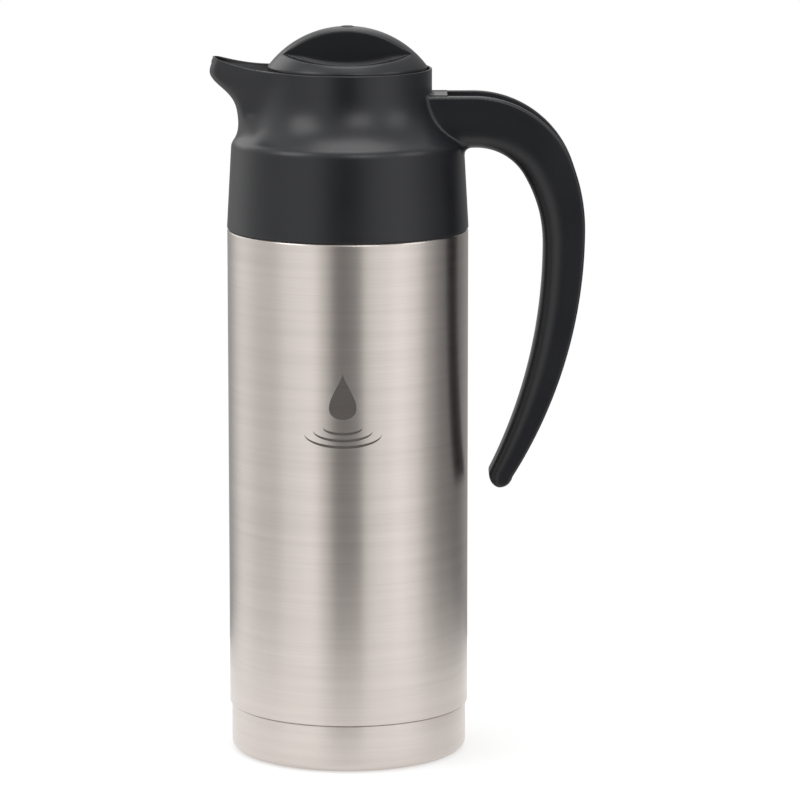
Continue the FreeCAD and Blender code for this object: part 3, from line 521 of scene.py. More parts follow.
def collar_points():
    """The collar as one closed grid: angle round the axis by way along its wall.

    The way runs up the outside, over the rounded rim, down the channel and the bore, under the
    web and down the inside of the band to the foot.  The angle of column u is
    2 pi u - c sin(2 pi u), measured from the spout, so columns crowd there.
    """
    even = 2 * math.pi * (np.arange(360) / 360)
    angle = even - CROWDING * np.sin(even)
    foot, edge = COLLAR_LOW[2], RIM_EDGE
    top = rim_edge(angle, lambda height: collar_radius(angle, height))
    inner_top = rim_edge(angle, lambda height: channel_radius(angle, height, NECK - RIM_WALL))

    way = stretches(WALL_SHARES, WALL_ROWS)
    low = foot + edge
    height = low + way[:, None] * (top - edge - low)
    grid_angle = np.broadcast_to(angle, height.shape)
    outer = collar_radius(grid_angle, height)

    turn = np.linspace(0, math.pi / 2, 5)[1:, None]
    foot_round = [(COLLAR_HIGH[1] - edge + edge * np.sin(turn[:-1]) + 0 * angle,
                   low - edge * np.cos(turn[:-1]) + 0 * angle)]
    rim_outer = (outer[-1] - edge * (1 - np.cos(turn)), top - edge * (1 - np.sin(turn)))
    inner_wall = channel_radius(angle, inner_top - edge, NECK - RIM_WALL)
    back = turn[::-1] - turn[0]
    rim_inner = (inner_wall + edge * (1 - np.cos(back)), inner_top - edge * (1 - np.sin(back)))

    share_down = np.linspace(0, 1, 26)[1:, None]
    recess = inner_top - edge + share_down * (RECESS_FLOOR - inner_top + edge)
    recess_wall = channel_radius(np.broadcast_to(angle, recess.shape), recess, NECK - RIM_WALL)
    bore = RECESS_FLOOR - np.linspace(0, CHANNEL_DEPTH, 40)[:, None] + 0 * angle
    bore_wall = channel_radius(np.broadcast_to(angle, bore.shape), bore, THROAT)
    on_shell_side = SEAL_RADIUS - SEAL_SEAT + SHELL_CLEARANCE
    hidden = np.array([
        (THROAT, WEB), *FLARE_INSIDE, (BAND_RADIUS - COLLAR_WALL, BAND_TOP),
        (on_shell_side, SHOULDER_START), (on_shell_side, foot), (COLLAR_HIGH[1] - edge, foot),
    ])
    hidden = (hidden[:, 0, None] + 0 * angle, hidden[:, 1, None] + 0 * angle)

    runs = foot_round + [(outer, height), rim_outer, rim_inner, (recess_wall, recess),
                         (bore_wall, bore), hidden]
    radius = np.concatenate([run[0] for run in runs])
    level = np.concatenate([run[1] for run in runs])
    return np.stack([-radius * np.cos(angle), radius * np.sin(angle), level], axis=-1)


# ---------------------------------------------------------------- handle

OUTER_BENDS = ((42.0, 68.8), (73.8, 21.2), (190.0, 31.8))     # radius and sweep of each arc
INNER_BENDS = ((22.0, 59.5), (56.7, 30.5), (206.7, 26.2))
HANDLE_TOP = 265.5
HANDLE_BEND = 50.0       # where the upper face begins to turn
ROOT_THICKNESS = 20.9
HANDLE_DROP = 158.0      # height over which the handle narrows
RECESS_START = 39.5
RECESS_TRIM = 3.0        # degrees of the last arc that the recess leaves free
ROOT_REACH = 3.9         # how far past the collar the root's round is over
UNDER_BLEND = 3.6        # round under the handle
UNDER_TOP = 250.0        # height where it begins to grow
UNDER_SPAN = 5.0         # drop over which it reaches its full size
GRIP_ROUND = 7.0         # rounding of the grip's edges, across the handle
GRIP_DEPTH = 10.5        # and through its thickness
SPINE_ROUND = 1.2
THIN_SHARES = (0.3, 0.45, 0.52)     # most of the thickness that spine, grip and depth take
LIP_ROUND = 0.6          # rounding of the recess's upper edges
LIP_LEAST = 0.05         # what is left of it without a recess
LIP_SHARE = 0.3          # and how much of the recess's depth it may take
FLOOR_ROUND = 0.3        # rounding of the recess's floor
RECESS_STEP = 0.02       # run of the recess's end wall
# Shares of the root's round at which it has a section; those below nothing lie in the collar.
ROOT_SHARES = (-2.0, -0.3, 0.0, 0.04, 0.12, 0.24, 0.4, 0.6, 0.8, 1.0)
COLLAR_PAST = (6.0, 2.0)            # how far below the band's top and above the flare's it is read
BEND_ROWS = (50, 24, 60)            # sections along each arc
TIP_REACH = 4.9          # how far the free end's round stands out
TIP_TRIM = 0.9           # how much narrower it ends on each side
TIP_ANGLES = (15, 30, 45, 58, 70, 80, 86, 88.5)     # degrees round that end
INSERT_ROWS = (50, 24, 56)
INSERT_DEPTH = 2.2
INSERT_EDGE = 0.45
INSERT_GAP = 0.3


def arc_line(start, bends, way):
    """Point and heading on tangent arcs that start along +X and all turn down.

    The whole part of way picks the arc and the rest is the share of its sweep.  After a turn
    by a, an arc of radius R has moved R sin a ahead and R (1 - cos a) aside.
    """
    point = np.zeros(way.shape + (2,))
    heading = np.zeros(way.shape)
    spot, turn = np.array(start, float), 0.0
    for number, (radius, sweep) in enumerate(bends):
        last = number == len(bends) - 1
        here = (way >= number) & ((way < number + 1) | last)
        angle = np.radians(sweep) * (way - number)
        ahead = np.array([math.cos(turn), -math.sin(turn)])
        aside = np.array([-math.sin(turn), -math.cos(turn)])
        moved = (spot + radius * np.sin(angle)[..., None] * ahead
                 + radius * (1 - np.cos(angle))[..., None] * aside)
        point[here] = moved[here]
        heading[here] = (turn + angle)[here]
        full = math.radians(sweep)
        spot = spot + radius * math.sin(full) * ahead + radius * (1 - math.cos(full)) * aside
        turn += full
    return point, heading


def half_width(height, trim=0.0):
    """Half width of the handle, narrowing evenly from its root to its free end."""
    handle = settings("handle")
    share = np.clip((HANDLE_TOP - height) / HANDLE_DROP, 0, 1)
    return (handle.root_width + (handle.tip_width - handle.root_width) * share) / MM / 2 - trim


def handle_section(thick, wide, recess, rim):
    """Half section of the handle from the middle of its spine round to the middle of its grip.

    It returns arrays (aside, out): out runs from 0 at the grip face to the thickness at the
    spine.  The spine's edge is a quarter circle, the grip's edge a quarter ellipse, and the
    recess drops between the rims.
    """
    spine, grip, deep = (min(size, thick * share) for size, share in
                         zip((SPINE_ROUND, GRIP_ROUND, GRIP_DEPTH), THIN_SHARES))
    turn = np.linspace(0, math.pi / 2, 8)
    fine = np.linspace(0, math.pi / 2, 5)
    lip = min(LIP_ROUND, recess * LIP_SHARE + LIP_LEAST)
    floor = thick - recess
    edge = wide - rim
    inner = edge - FLOOR_ROUND
    aside = [np.linspace(0, 1, 4)[:-1] * inner, inner + FLOOR_ROUND * np.sin(fine),
             edge + lip * (1 - np.cos(fine)), wide - spine + spine * np.sin(turn),
             wide + 0 * np.linspace(0, 1, 6)[1:-1], wide - grip + grip * np.cos(turn),
             (wide - grip) * np.linspace(1, 0, 6)[1:]]
    out = [floor + 0 * np.linspace(0, 1, 4)[:-1], floor + FLOOR_ROUND * (1 - np.cos(fine)),
           thick - lip + lip * np.sin(fine), thick - spine + spine * np.cos(turn),
           thick - spine + (deep + spine - thick) * np.linspace(0, 1, 6)[1:-1],
           deep - deep * np.sin(turn), 0 * np.linspace(1, 0, 6)[1:]]
    return np.concatenate(aside), np.concatenate(out)


def handle_points():
    """The handle as a closed grid: way along the two tangent lines of arcs by way round.

    A section stands between a point of the grip's line and one of the spine's line.  Each line
    of the straight root starts on the collar: x = sqrt(R(z)^2 - y^2), R being the collar's
    radius.  At a share u of the root's round r from it the section has grown by
    r (1 - sqrt(1 - (1 - u)^2)).  The free end is half an ellipse in side view.
    """
    handle = settings("handle")
    rim, recess = handle.rim / MM, handle.recess / MM
    free = 3 - RECESS_TRIM / OUTER_BENDS[-1][1]
    bend_way = np.unique(np.append(stretches((0, 1, 2, 3), BEND_ROWS), free))
    spine, _ = arc_line((HANDLE_BEND, HANDLE_TOP), OUTER_BENDS, bend_way)
    grip, _ = arc_line((HANDLE_BEND + 1, HANDLE_TOP - ROOT_THICKNESS), INNER_BENDS, bend_way)
    rows = []

    def add_row(grip_spot, spine_spot, depth, wide_trim=0.0):
        across = spine_spot - grip_spot
        thick = float(np.linalg.norm(across))
        out_way = across / max(thick, 1e-6)
        wide = float(half_width((grip_spot[1] + spine_spot[1]) / 2)) - wide_trim
        aside, out = handle_section(thick, wide, depth, rim)
        spot = grip_spot + out[:, None] * out_way
        row = np.stack([spot[:, 0], aside, spot[:, 1]], axis=-1)
        mirrored = row[-2:0:-1] * np.array([1, -1, 1])
        rows.append(np.concatenate([row, mirrored]))

    grip_start, spine_start = grip[0], spine[0]
    for share in ROOT_SHARES:
        add_row(grip_start, spine_start, 0.0)
        add_root(rows[-1], share, handle.root_blend / MM)
    for past, depth in ((0.0, 0.0), (RECESS_STEP, recess)):
        add_row(grip_start, spine_start, depth)
        rows[-1][:, 0] = recess_start(rows[-1]) + past
    for share in (0.25, 0.5, 0.75):
        add_row(grip_start, spine_start, recess)
        begin = recess_start(rows[-1]) + RECESS_STEP
        rows[-1][:, 0] = begin + (rows[-1][:, 0] - begin) * share
    for number, way in enumerate(bend_way):
        add_row(grip[number], spine[number], recess if way <= free + 1e-9 else 0.0)
        if abs(way - free) < 1e-9:
            add_row(grip[number], spine[number], 0.0)
    down = spine[-1] - grip[-1]
    ahead = np.array([down[1], -down[0]]) / np.linalg.norm(down)
    middle = (spine[-1] + grip[-1]) / 2
    for angle in np.radians(TIP_ANGLES):
        centre = middle + ahead * TIP_REACH * math.sin(angle)
        half = down / 2 * math.cos(angle)
        add_row(centre - half, centre + half, 0.0, TIP_TRIM * (1 - math.cos(angle)) ** 2)
    return capped(np.array(rows))


def capped(rows):
    """The rows with one more at each end, shrunk to the middle of its neighbour."""
    ends = [np.broadcast_to(row.mean(axis=0), row.shape)[None] for row in (rows[0], rows[-1])]
    return np.concatenate([ends[0], rows, ends[1]])


def on_collar(row):
    """X of the collar's surface at the width and height of each point of a section."""
    height = np.clip(row[:, 2], BAND_TOP - COLLAR_PAST[0], FLARE_TOP + COLLAR_PAST[1])
    return np.sqrt(collar_turned(height) ** 2 - row[:, 1] ** 2)


def recess_start(row):
    """X where the recess starts, or farther out where the root's round reaches past that."""
    return np.maximum(RECESS_START, on_collar(row) + ROOT_REACH)


def add_root(row, share, blend):
    """Move a section onto the collar, a share of the round away from it, and swell it.

    The round is larger under the handle than beside and above it.
    """
    low = np.clip((UNDER_TOP - row[:, 2]) / UNDER_SPAN, 0, 1)
    blend = blend + (UNDER_BLEND - blend) * low * low * (3 - 2 * low)
    swell = blend * (1 - math.sqrt(1 - (1 - max(share, 0)) ** 2))
    away = row[:, 1:] - row[:, 1:].mean(axis=0)
    away /= np.linalg.norm(away, axis=1)[:, None]
    row[:, 1:] += away * swell[:, None]
    row[:, 0] = on_collar(row) + share * blend


def insert_points():
    """Insert in the recess: a strip with rounded edges that follows the spine's line of arcs.

    Its section is a rounded rectangle between two depths below the spine; the first and last
    sections shrink towards their middle, which rounds and closes the ends.
    """
    handle = settings("handle")
    free = 3 - (RECESS_TRIM + INSERT_GAP / 2) / OUTER_BENDS[-1][1]
    way = stretches((0, 1, 2, free), INSERT_ROWS)
    line, heading = arc_line((HANDLE_BEND, HANDLE_TOP), OUTER_BENDS, way)
    straight = np.linspace(RECESS_START + INSERT_GAP, HANDLE_BEND, 8)[:-1]
    lead = np.stack([straight, np.full(len(straight), HANDLE_TOP)], axis=-1)
    line = np.concatenate([lead, line])
    heading = np.concatenate([np.zeros(len(straight)), heading])
    ends = np.array([0.0, 0.6, 0.9, 1.0])
    line = np.concatenate([line[:1].repeat(3, 0), line, line[-1:].repeat(3, 0)])
    heading = np.concatenate([heading[:1].repeat(3), heading, heading[-1:].repeat(3)])
    size = np.concatenate([ends[:3], np.ones(len(line) - 6), ends[2::-1]])
    turn = np.linspace(0, math.pi / 2, 5)
    edge, thick = INSERT_EDGE, INSERT_DEPTH
    wide = half_width(line[:, 1], handle.rim / MM + INSERT_GAP)[:, None]
    corner_aside = np.concatenate([np.sin(turn), np.cos(turn)]) * edge
    corner_out = np.concatenate([thick - edge + edge * np.cos(turn), edge - edge * np.sin(turn)])
    aside = np.concatenate([wide - edge + corner_aside, -(wide - edge + corner_aside[::-1])],
                           axis=1) * size[:, None]
    out = np.concatenate([corner_out, corner_out[::-1]])[None]
    out = thick / 2 + (out - thick / 2) * size[:, None] - handle.recess / MM
    normal = np.stack([np.sin(heading), np.cos(heading)], axis=-1)
    spot = line[:, None] + out[..., None] * normal[:, None]
    return np.stack([spot[..., 0], aside, spot[..., 1]], axis=-1)


# ---------------------------------------------------------------- lid

DOME_EDGE = 276.4
SCOOP_HALF = (36.5, 42.6, 19.2)     # half axes of a scoop along, across and up
SCOOP_FLOOR = 276.9
GATE = (2.4, 0.3)                   # radius and height of the moulding gate mark
GATE_SLOPE = 0.5                    # width of its sloped edge
SCOOP_BLEND = 1.6                   # width of the blend between dome and scoop
RIDGE_SHARE = 0.85                  # most of the lid's half width that the ridge takes
RIDGE_LEAST = 0.4                   # height under which the ridge isn't rounded
ROUND_SHARES = (0.3, 0.35)          # most of the ridge's wall that its edge and foot take
RIM_ROUND = 0.5
SKIRT_ROUND = 0.3
END_SPAN = 4.0                      # half width under which those two rounds shrink
UNDER_SHARE = 0.9                   # share of the width where the rings under the lid start


def lid_points():
    """The lid as closed rings in planes of constant x, which shrink to a line at both ends.

    The dome is z = c + sqrt(D^2 - x^2 - y^2).  A scoop is the underside of an ellipsoid whose
    centre lies on the ridge's side: z = f + C (1 - sqrt(1 - (x/A)^2 - ((|y| - h)/B)^2)).
    Outside the ridge the lid is the lower of the two, blended; the ridge keeps the dome and
    has an upright side.  The ridge's edge and foot are quadratic curves from face to face.
    """
    lid = settings("lid")
    dome, ridge = lid.dome / MM, lid.ridge / MM
    radius, floor = LID_HIGH[1], LID_LOW[2]
    centre = DOME_EDGE - math.sqrt(dome ** 2 - radius ** 2)
    x = -radius * np.cos(np.linspace(0, math.pi, 221))[:, None]
    chord = np.sqrt(np.clip(radius ** 2 - x ** 2, 1e-10, None))
    half = np.minimum(ridge, RIDGE_SHARE * chord)
    shrink = np.minimum(1, chord / END_SPAN)

    def dome_height(y):
        gate = np.clip((GATE[0] + GATE_SLOPE / 2 - np.hypot(x, y)) / GATE_SLOPE, 0, 1)
        return centre + np.sqrt(dome ** 2 - x ** 2 - y ** 2) + GATE[1] * gate

    def low_height(y):
        across = np.clip(y - half, 0, None) / SCOOP_HALF[1]
        depth = np.sqrt(np.clip(1 - (x / SCOOP_HALF[0]) ** 2 - across ** 2, 0, None))
        scoop = SCOOP_FLOOR + SCOOP_HALF[2] * (1 - depth)
        return smooth_least(dome_height(y), scoop, SCOOP_BLEND)

    wall = np.clip(dome_height(half) - low_height(half) - RIDGE_LEAST, 0, None)
    edge_round = np.minimum(lid.edge_round / MM, ROUND_SHARES[0] * wall)
    foot_round = np.minimum(lid.foot_round / MM, ROUND_SHARES[1] * wall)

    def curve(start, corner, end, steps):
        share = np.linspace(0, 1, steps)
        parts = [(1 - share) ** 2 * a + 2 * share * (1 - share) * b + share ** 2 * c
                 for a, b, c in zip(start, corner, end)]
        return parts[0], parts[1]

    top_y = np.linspace(0, 1, 20)[:-1] * (half - edge_round)
    edge_y, edge_z = curve((half - edge_round, dome_height(half - edge_round)),
                           (half, dome_height(half)),
                           (half, dome_height(half) - edge_round), 7)
    wall_share = np.linspace(0, 1, 10)[1:-1]
    wall_top = dome_height(half) - edge_round
    wall_low = low_height(half) + foot_round
    wall_z = wall_top + wall_share * (wall_low - wall_top)
    foot_y, foot_z = curve((half, wall_low), (half, low_height(half)),
                           (half + foot_round, low_height(half + foot_round)), 9)
    rim = RIM_ROUND * shrink
    out_start = half + foot_round
    out_y = out_start + np.linspace(0, 1, 60)[1:] * (chord - rim - out_start)
    rim_y, rim_z = curve((chord - rim, low_height(chord - rim)), (chord, low_height(chord)),
                         (chord, low_height(chord) - rim), 6)
    skirt_low = floor + SKIRT_ROUND
    skirt_end = chord - SKIRT_ROUND * shrink
    skirt_y = np.concatenate([chord, chord, skirt_end], axis=1)
    skirt_z = np.stack([rim_z[:, -1] * 0.5 + skirt_low * 0.5, np.full(len(x), skirt_low),
                        np.full(len(x), floor)], axis=1)
    under_y = np.linspace(UNDER_SHARE, 0, 6) * skirt_end
    y = np.concatenate([top_y, edge_y, half + 0 * wall_z, foot_y, out_y, rim_y[:, 1:],
                        skirt_y, under_y], axis=1)
    z = np.concatenate([dome_height(top_y), edge_z, wall_z, foot_z, low_height(out_y),
                        rim_z[:, 1:], skirt_z, floor + 0 * under_y], axis=1)
    y = np.concatenate([y, -y[:, -2:0:-1]], axis=1)
    z = np.concatenate([z, z[:, -2:0:-1]], axis=1)
    y[0], y[-1] = 0, 0
    return np.stack([np.broadcast_to(x, y.shape), y, z], axis=-1)


# ---------------------------------------------------------------- droplet sign

DROP_HALF = (5.4, 9.2)   # half width and half height of the drop
DROP_WIDEST = 1.3        # largest value of sin t (1 - cos t)
DROP_LIFT = 5.2          # height of its middle over the sign's place
DROP_HEART = 1.5         # height that its rings shrink to
DROP_FILM = (-0.15, 0.03)           # its back and its front, out from the shell
RIPPLES = ((0.5, -7.2), (0.76, -8.6), (1.0, -10.0))     # share of the width, and height
RIPPLE_BAND = 1.5        # width of a ripple's band
RIPPLE_SAG = 0.16        # depth of its bow over its width
RIPPLE_FADE = 0.6        # power that fades its ends
RIPPLE_FILM = (-0.06, 0.09)         # middle and half thickness of its film


def on_shell(across, up, out):
    """Points of the flat sign wrapped on the shell: (s, z) becomes (R sin s/R, -R cos s/R, z)."""
    sign = settings("sign")
    radius = SHELL_HIGH[0] + out
    angle = (across + sign.place[0] / MM) / SHELL_HIGH[0]
    return np.stack([radius * np.sin(angle), -radius * np.cos(angle),
                     up + sign.place[1] / MM + 0 * angle], axis=-1)


def droplet_points():
    """A drop, thin and closed: its outline is s = w sin t (1 - cos t) / m, z = h cos t.

    Rings of the outline shrink to its middle on the front and on the back.
    """
    turn = np.linspace(0, 2 * math.pi, 96, endpoint=False)
    across = DROP_HALF[0] * np.sin(turn) * (1 - np.cos(turn)) / DROP_WIDEST
    up = DROP_HALF[1] * np.cos(turn) + DROP_LIFT
    ring = np.concatenate([np.linspace(0, 1, 9), np.linspace(1, 0, 9)])[:, None]
    out = np.repeat(DROP_FILM, 9)[:, None]
    return on_shell(ring * across, ring * (up - DROP_HEART) + DROP_HEART,
                    out + 0 * ring * across)


def ripple_points(width, drop):
    """A ripple under the drop: a band along half an ellipse whose width fades at both ends."""
    turn = np.linspace(0, math.pi, 80)[:, None]
    round_way = np.linspace(0, 2 * math.pi, 12, endpoint=False)
    band = RIPPLE_BAND * np.sin(turn) ** RIPPLE_FADE
    middle_across = -width / 2 * np.cos(turn)
    middle_up = drop - RIPPLE_SAG * width * np.sin(turn)
    across = middle_across + 0 * round_way
    up = middle_up + band / 2 * np.cos(round_way)
    out = RIPPLE_FILM[0] + RIPPLE_FILM[1] * np.sin(round_way) + 0 * turn
    return on_shell(across, up, out)


# ---------------------------------------------------------------- materials

def linear(tone):
    """Linear colour of an sRGB hex."""
    parts = np.array([int(tone[at:at + 2], 16) for at in (0, 2, 4)]) / 255
    parts = np.where(parts <= 0.04045, parts / 12.92, ((parts + 0.055) / 1.055) ** 2.4)
    return (*parts.tolist(), 1.0)


def add_node(tree, kind, inputs=None, **options):
    """A node with its options set; an input is a value or the socket to link to it."""
    made = tree.nodes.new(kind)
    for name, setting in options.items():
        setattr(made, name, setting)
    for socket, setting in (inputs or {}).items():
        if isinstance(setting, bpy.types.NodeSocket):
            tree.links.new(setting, made.inputs[socket])
        else:
            made.inputs[socket].default_value = setting
    return made


def new_material(name):
    """An empty material, its node tree and its output."""
    material = bpy.data.materials.new(name)
    material.use_nodes = True
    tree = material.node_tree
    tree.nodes.clear()
    return material, tree, tree.nodes.new("ShaderNodeOutputMaterial")


def noise(tree, scale, detail=3.0, roughness=0.5):
    """Noise on Object coordinates, scaled per axis in cycles per metre."""
    place = add_node(tree, "ShaderNodeTexCoord").outputs["Object"]
    mapped = add_node(tree, "ShaderNodeMapping", {"Vector": place, "Scale": scale})
    return add_node(tree, "ShaderNodeTexNoise", {
        "Vector": mapped.outputs["Vector"], "Scale": 1.0, "Detail": detail,
        "Roughness": roughness}).outputs["Fac"]


def spread(tree, source, low, high, span=(0.3, 0.7)):
    """A number that runs from low to high as the source runs over a span."""
    return add_node(tree, "ShaderNodeMapRange", {
        "Value": source, "From Min": span[0], "From Max": span[1],
        "To Min": low, "To Max": high}).outputs["Result"]


def two_tones(tree, source, first, second, span=(0.3, 0.7)):
    """Colour between two hex tones as the source runs over a span."""
    share = spread(tree, source, 0.0, 1.0, span)
    return add_node(tree, "ShaderNodeMix", {
        0: share, 6: linear(first), 7: linear(second)}, data_type="RGBA").outputs[2]


def combined(tree, operation, first, second):
    """The result of a Math node on two numbers or sockets."""
    return add_node(tree, "ShaderNodeMath", {0: first, 1: second},
                    operation=operation).outputs[0]


def finish_material(tree, output, shader, bump_source, strength, depth):
    """Link a principled shader and its bump."""
    bump = add_node(tree, "ShaderNodeBump", {
        "Height": bump_source, "Strength": strength, "Distance": depth})
    tree.links.new(bump.outputs["Normal"], shader.inputs["Normal"])
    tree.links.new(shader.outputs["BSDF"], output.inputs["Surface"])


def brushed_stainless(name, line_share=1.0):
    """Stainless steel 304, brushed while it turns: upright gloss bands with fine level lines.

    Brush scratches are 0.05 to 0.1 mm apart; they are drawn about 0.6 mm apart, as coarse as
    they need to show, and some 40 mm long round the jug.
    """
    steel = settings("steel")
    material, tree, output = new_material(name)
    line = line_share / steel.line
    scratches = noise(tree, (25.0, 25.0, line), 4.0, 0.6)
    long_lines = noise(tree, (8.0, 8.0, line / 5), 2.0)
    cloud = noise(tree, (18.0, 18.0, 30.0), 2.0)
    mixed = combined(tree, "ADD", scratches, long_lines)
    tone = two_tones(tree, mixed, steel.dark_tone, steel.tone, (0.7, 1.3))
    rough = combined(tree, "ADD", spread(tree, scratches, steel.roughness - 0.015,
                                         steel.roughness + 0.015),
                     spread(tree, cloud, -0.01, 0.01))
    tangent = add_node(tree, "ShaderNodeTangent", direction_type="RADIAL", axis="Z")
    shader = add_node(tree, "ShaderNodeBsdfPrincipled", {
        "Base Color": tone, "Metallic": 1.0, "Roughness": rough,
        "Anisotropic": steel.stretch, "Anisotropic Rotation": 0.25,
        "Tangent": tangent.outputs["Tangent"]})
    finish_material(tree, output, shader, scratches, 0.03, 0.00002)
    return material


def moulded_polypropylene(name, lift=0.0):
    """Polypropylene moulded in a spark-eroded tool: soft broad gloss and a very fine grain.

    The grain of such a tool is about 0.1 mm; it is drawn at 0.4 mm so that it shows.
    """
    plastic = settings("plastic")
    material, tree, output = new_material(name)
    grain = noise(tree, (1 / plastic.grain,) * 3, 2.0)
    cloud = noise(tree, (45.0, 45.0, 45.0), 3.0)
    tone = two_tones(tree, cloud, plastic.tone, plastic.pale_tone)
    rough = combined(tree, "ADD", spread(tree, grain, plastic.roughness - 0.03,
                                         plastic.roughness + 0.03),
                     spread(tree, cloud, lift - 0.02, lift + 0.02))
    shader = add_node(tree, "ShaderNodeBsdfPrincipled", {
        "Base Color": tone, "Roughness": rough, "IOR": 1.49})
    finish_material(tree, output, shader, grain, 0.10, 0.00003)
    return material


def plain_metal(name, tones, roughness, scale, strength=0.08):
    """A metal part that isn't brushed: two close tones and a fine uneven surface."""
    material, tree, output = new_material(name)
    pattern = noise(tree, scale, 4.0)
    shader = add_node(tree, "ShaderNodeBsdfPrincipled", {
        "Base Color": two_tones(tree, pattern, *tones), "Metallic": 1.0,
        "Roughness": spread(tree, pattern, roughness - 0.05, roughness + 0.06)})
    finish_material(tree, output, shader, pattern, strength, 0.00005)
    return material


def cast_silicone(name, tones, roughness, scatter):
    """Silicone rubber, pressed: dull soft gloss with a dusty bloom; light enters the pale one."""
    material, tree, output = new_material(name)
    bloom = noise(tree, (900.0,) * 3, 3.0)
    shader = add_node(tree, "ShaderNodeBsdfPrincipled", {
        "Base Color": two_tones(tree, bloom, *tones), "IOR": 1.41,
        "Roughness": spread(tree, bloom, roughness - 0.05, roughness + 0.05),
        "Subsurface Weight": scatter, "Subsurface Scale": 0.002})
    finish_material(tree, output, shader, bloom, 0.15, 0.00005)
    return material


def rigid_foam(name):
    """Polyurethane foam cut from a block: pale dry cells about 0.8 mm wide."""
    material, tree, output = new_material(name)
    place = add_node(tree, "ShaderNodeTexCoord").outputs["Object"]
    cells = add_node(tree, "ShaderNodeTexVoronoi", {"Vector": place, "Scale": 1250.0})
    distance = cells.outputs["Distance"]
    shader = add_node(tree, "ShaderNodeBsdfPrincipled", {
        "Base Color": two_tones(tree, distance, "b9ab86", "efe6cc", (0.0, 0.6)),
        "Roughness": spread(tree, distance, 0.95, 0.8, (0.0, 0.6)), "IOR": 1.5})
    finish_material(tree, output, shader, distance, 0.5, 0.0003)
    return material


def darkened_steel(name):
    """Steel darkened by a laser: a dull oxide film over the brushing, with faint level lines."""
    sign = settings("sign")
    material, tree, output = new_material(name)
    passes = noise(tree, (30.0, 30.0, 2200.0), 3.0)
    shader = add_node(tree, "ShaderNodeBsdfPrincipled", {
        "Base Color": two_tones(tree, passes, sign.tone, "645e5a"), "Metallic": 0.35,
        "Roughness": spread(tree, passes, 0.5, 0.62)})
    finish_material(tree, output, shader, passes, 0.1, 0.00004)
    return material


def paint(node, material):
    """Give a CAD node one material for all its faces."""
    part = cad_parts[node]
    part.data.materials.clear()
    part.data.materials.append(material)


# ---------------------------------------------------------------- operators

class JugOperator:
    """What every operator of the jug shares."""
    bl_options = {"REGISTER", "UNDO"}


class JUG_OT_vessel(JugOperator, bpy.types.Operator):
    """Brushed outer shell and base cup"""
    bl_idname = "jug.vessel"
    bl_label = "Steel vessel"

    def execute(self, context):
        new_piece("shell_skin", turned(shell_outline()), "vessel",
                  brushed_stainless("stainless_brushed_shell"), ["outer_shell"])
        new_piece("base_cup_skin", turned(cup_outline()), "vessel",
                  brushed_stainless("stainless_brushed_base", 0.8), ["base_cup"],
                  ring_rows=False)
        return {"FINISHED"}


class JUG_OT_pad(JugOperator, bpy.types.Operator):
    """Ribbed non-slip pad under the base"""
    bl_idname = "jug.pad"
    bl_label = "Non-slip pad"

    def execute(self, context):
        new_piece("ribbed_pad", turned(pad_outline(), 160), "vessel",
                  cast_silicone("silicone_pressed_grey", ("3a3c3e", "46484a"), 0.6, 0.0),
                  ["base_pad"], ring_rows=False)
        return {"FINISHED"}


class JUG_OT_collar(JugOperator, bpy.types.Operator):
    """Moulded collar with its flare, rim, spout and channel"""
    bl_idname = "jug.collar"
    bl_label = "Collar and spout"

    def execute(self, context):
        new_piece("collar_moulding", collar_points(), "vessel",
                  moulded_polypropylene("polypropylene_moulded_collar"), ["collar"])
        return {"FINISHED"}


class JUG_OT_handle(JugOperator, bpy.types.Operator):
    """Hook handle and the insert along its spine"""
    bl_idname = "jug.handle"
    bl_label = "Handle and insert"

    def execute(self, context):
        new_piece("handle_moulding", handle_points(), "vessel",
                  moulded_polypropylene("polypropylene_moulded_handle"), ["handle"],
                  ring_rows=False)
        new_piece("handle_strip", insert_points(), "vessel",
                  moulded_polypropylene("polypropylene_moulded_insert", 0.05),
                  ["handle_insert"], ring_rows=False)
        return {"FINISHED"}


class JUG_OT_lid(JugOperator, bpy.types.Operator):
    """Domed lid with its grip ridge and finger scoops"""
    bl_idname = "jug.lid"
    bl_label = "Lid"

    def execute(self, context):
        new_piece("lid_moulding", lid_points(), "stopper",
                  moulded_polypropylene("polypropylene_moulded_lid"), ["lid_cap"],
                  ring_rows=False)
        return {"FINISHED"}


class JUG_OT_sign(JugOperator, bpy.types.Operator):
    """Droplet and ripples darkened into the front of the shell"""
    bl_idname = "jug.sign"
    bl_label = "Droplet sign"

    def execute(self, context):
        width = settings("sign").width / MM
        film = darkened_steel("stainless_laser_darkened")
        new_piece("sign_drop", droplet_points(), "vessel", film, ring_rows=False)
        for number, (share, drop) in enumerate(RIPPLES, start=1):
            new_piece("sign_ripple_%d" % number, ripple_points(width * share, drop), "vessel",
                      film, ring_rows=False)
        return {"FINISHED"}


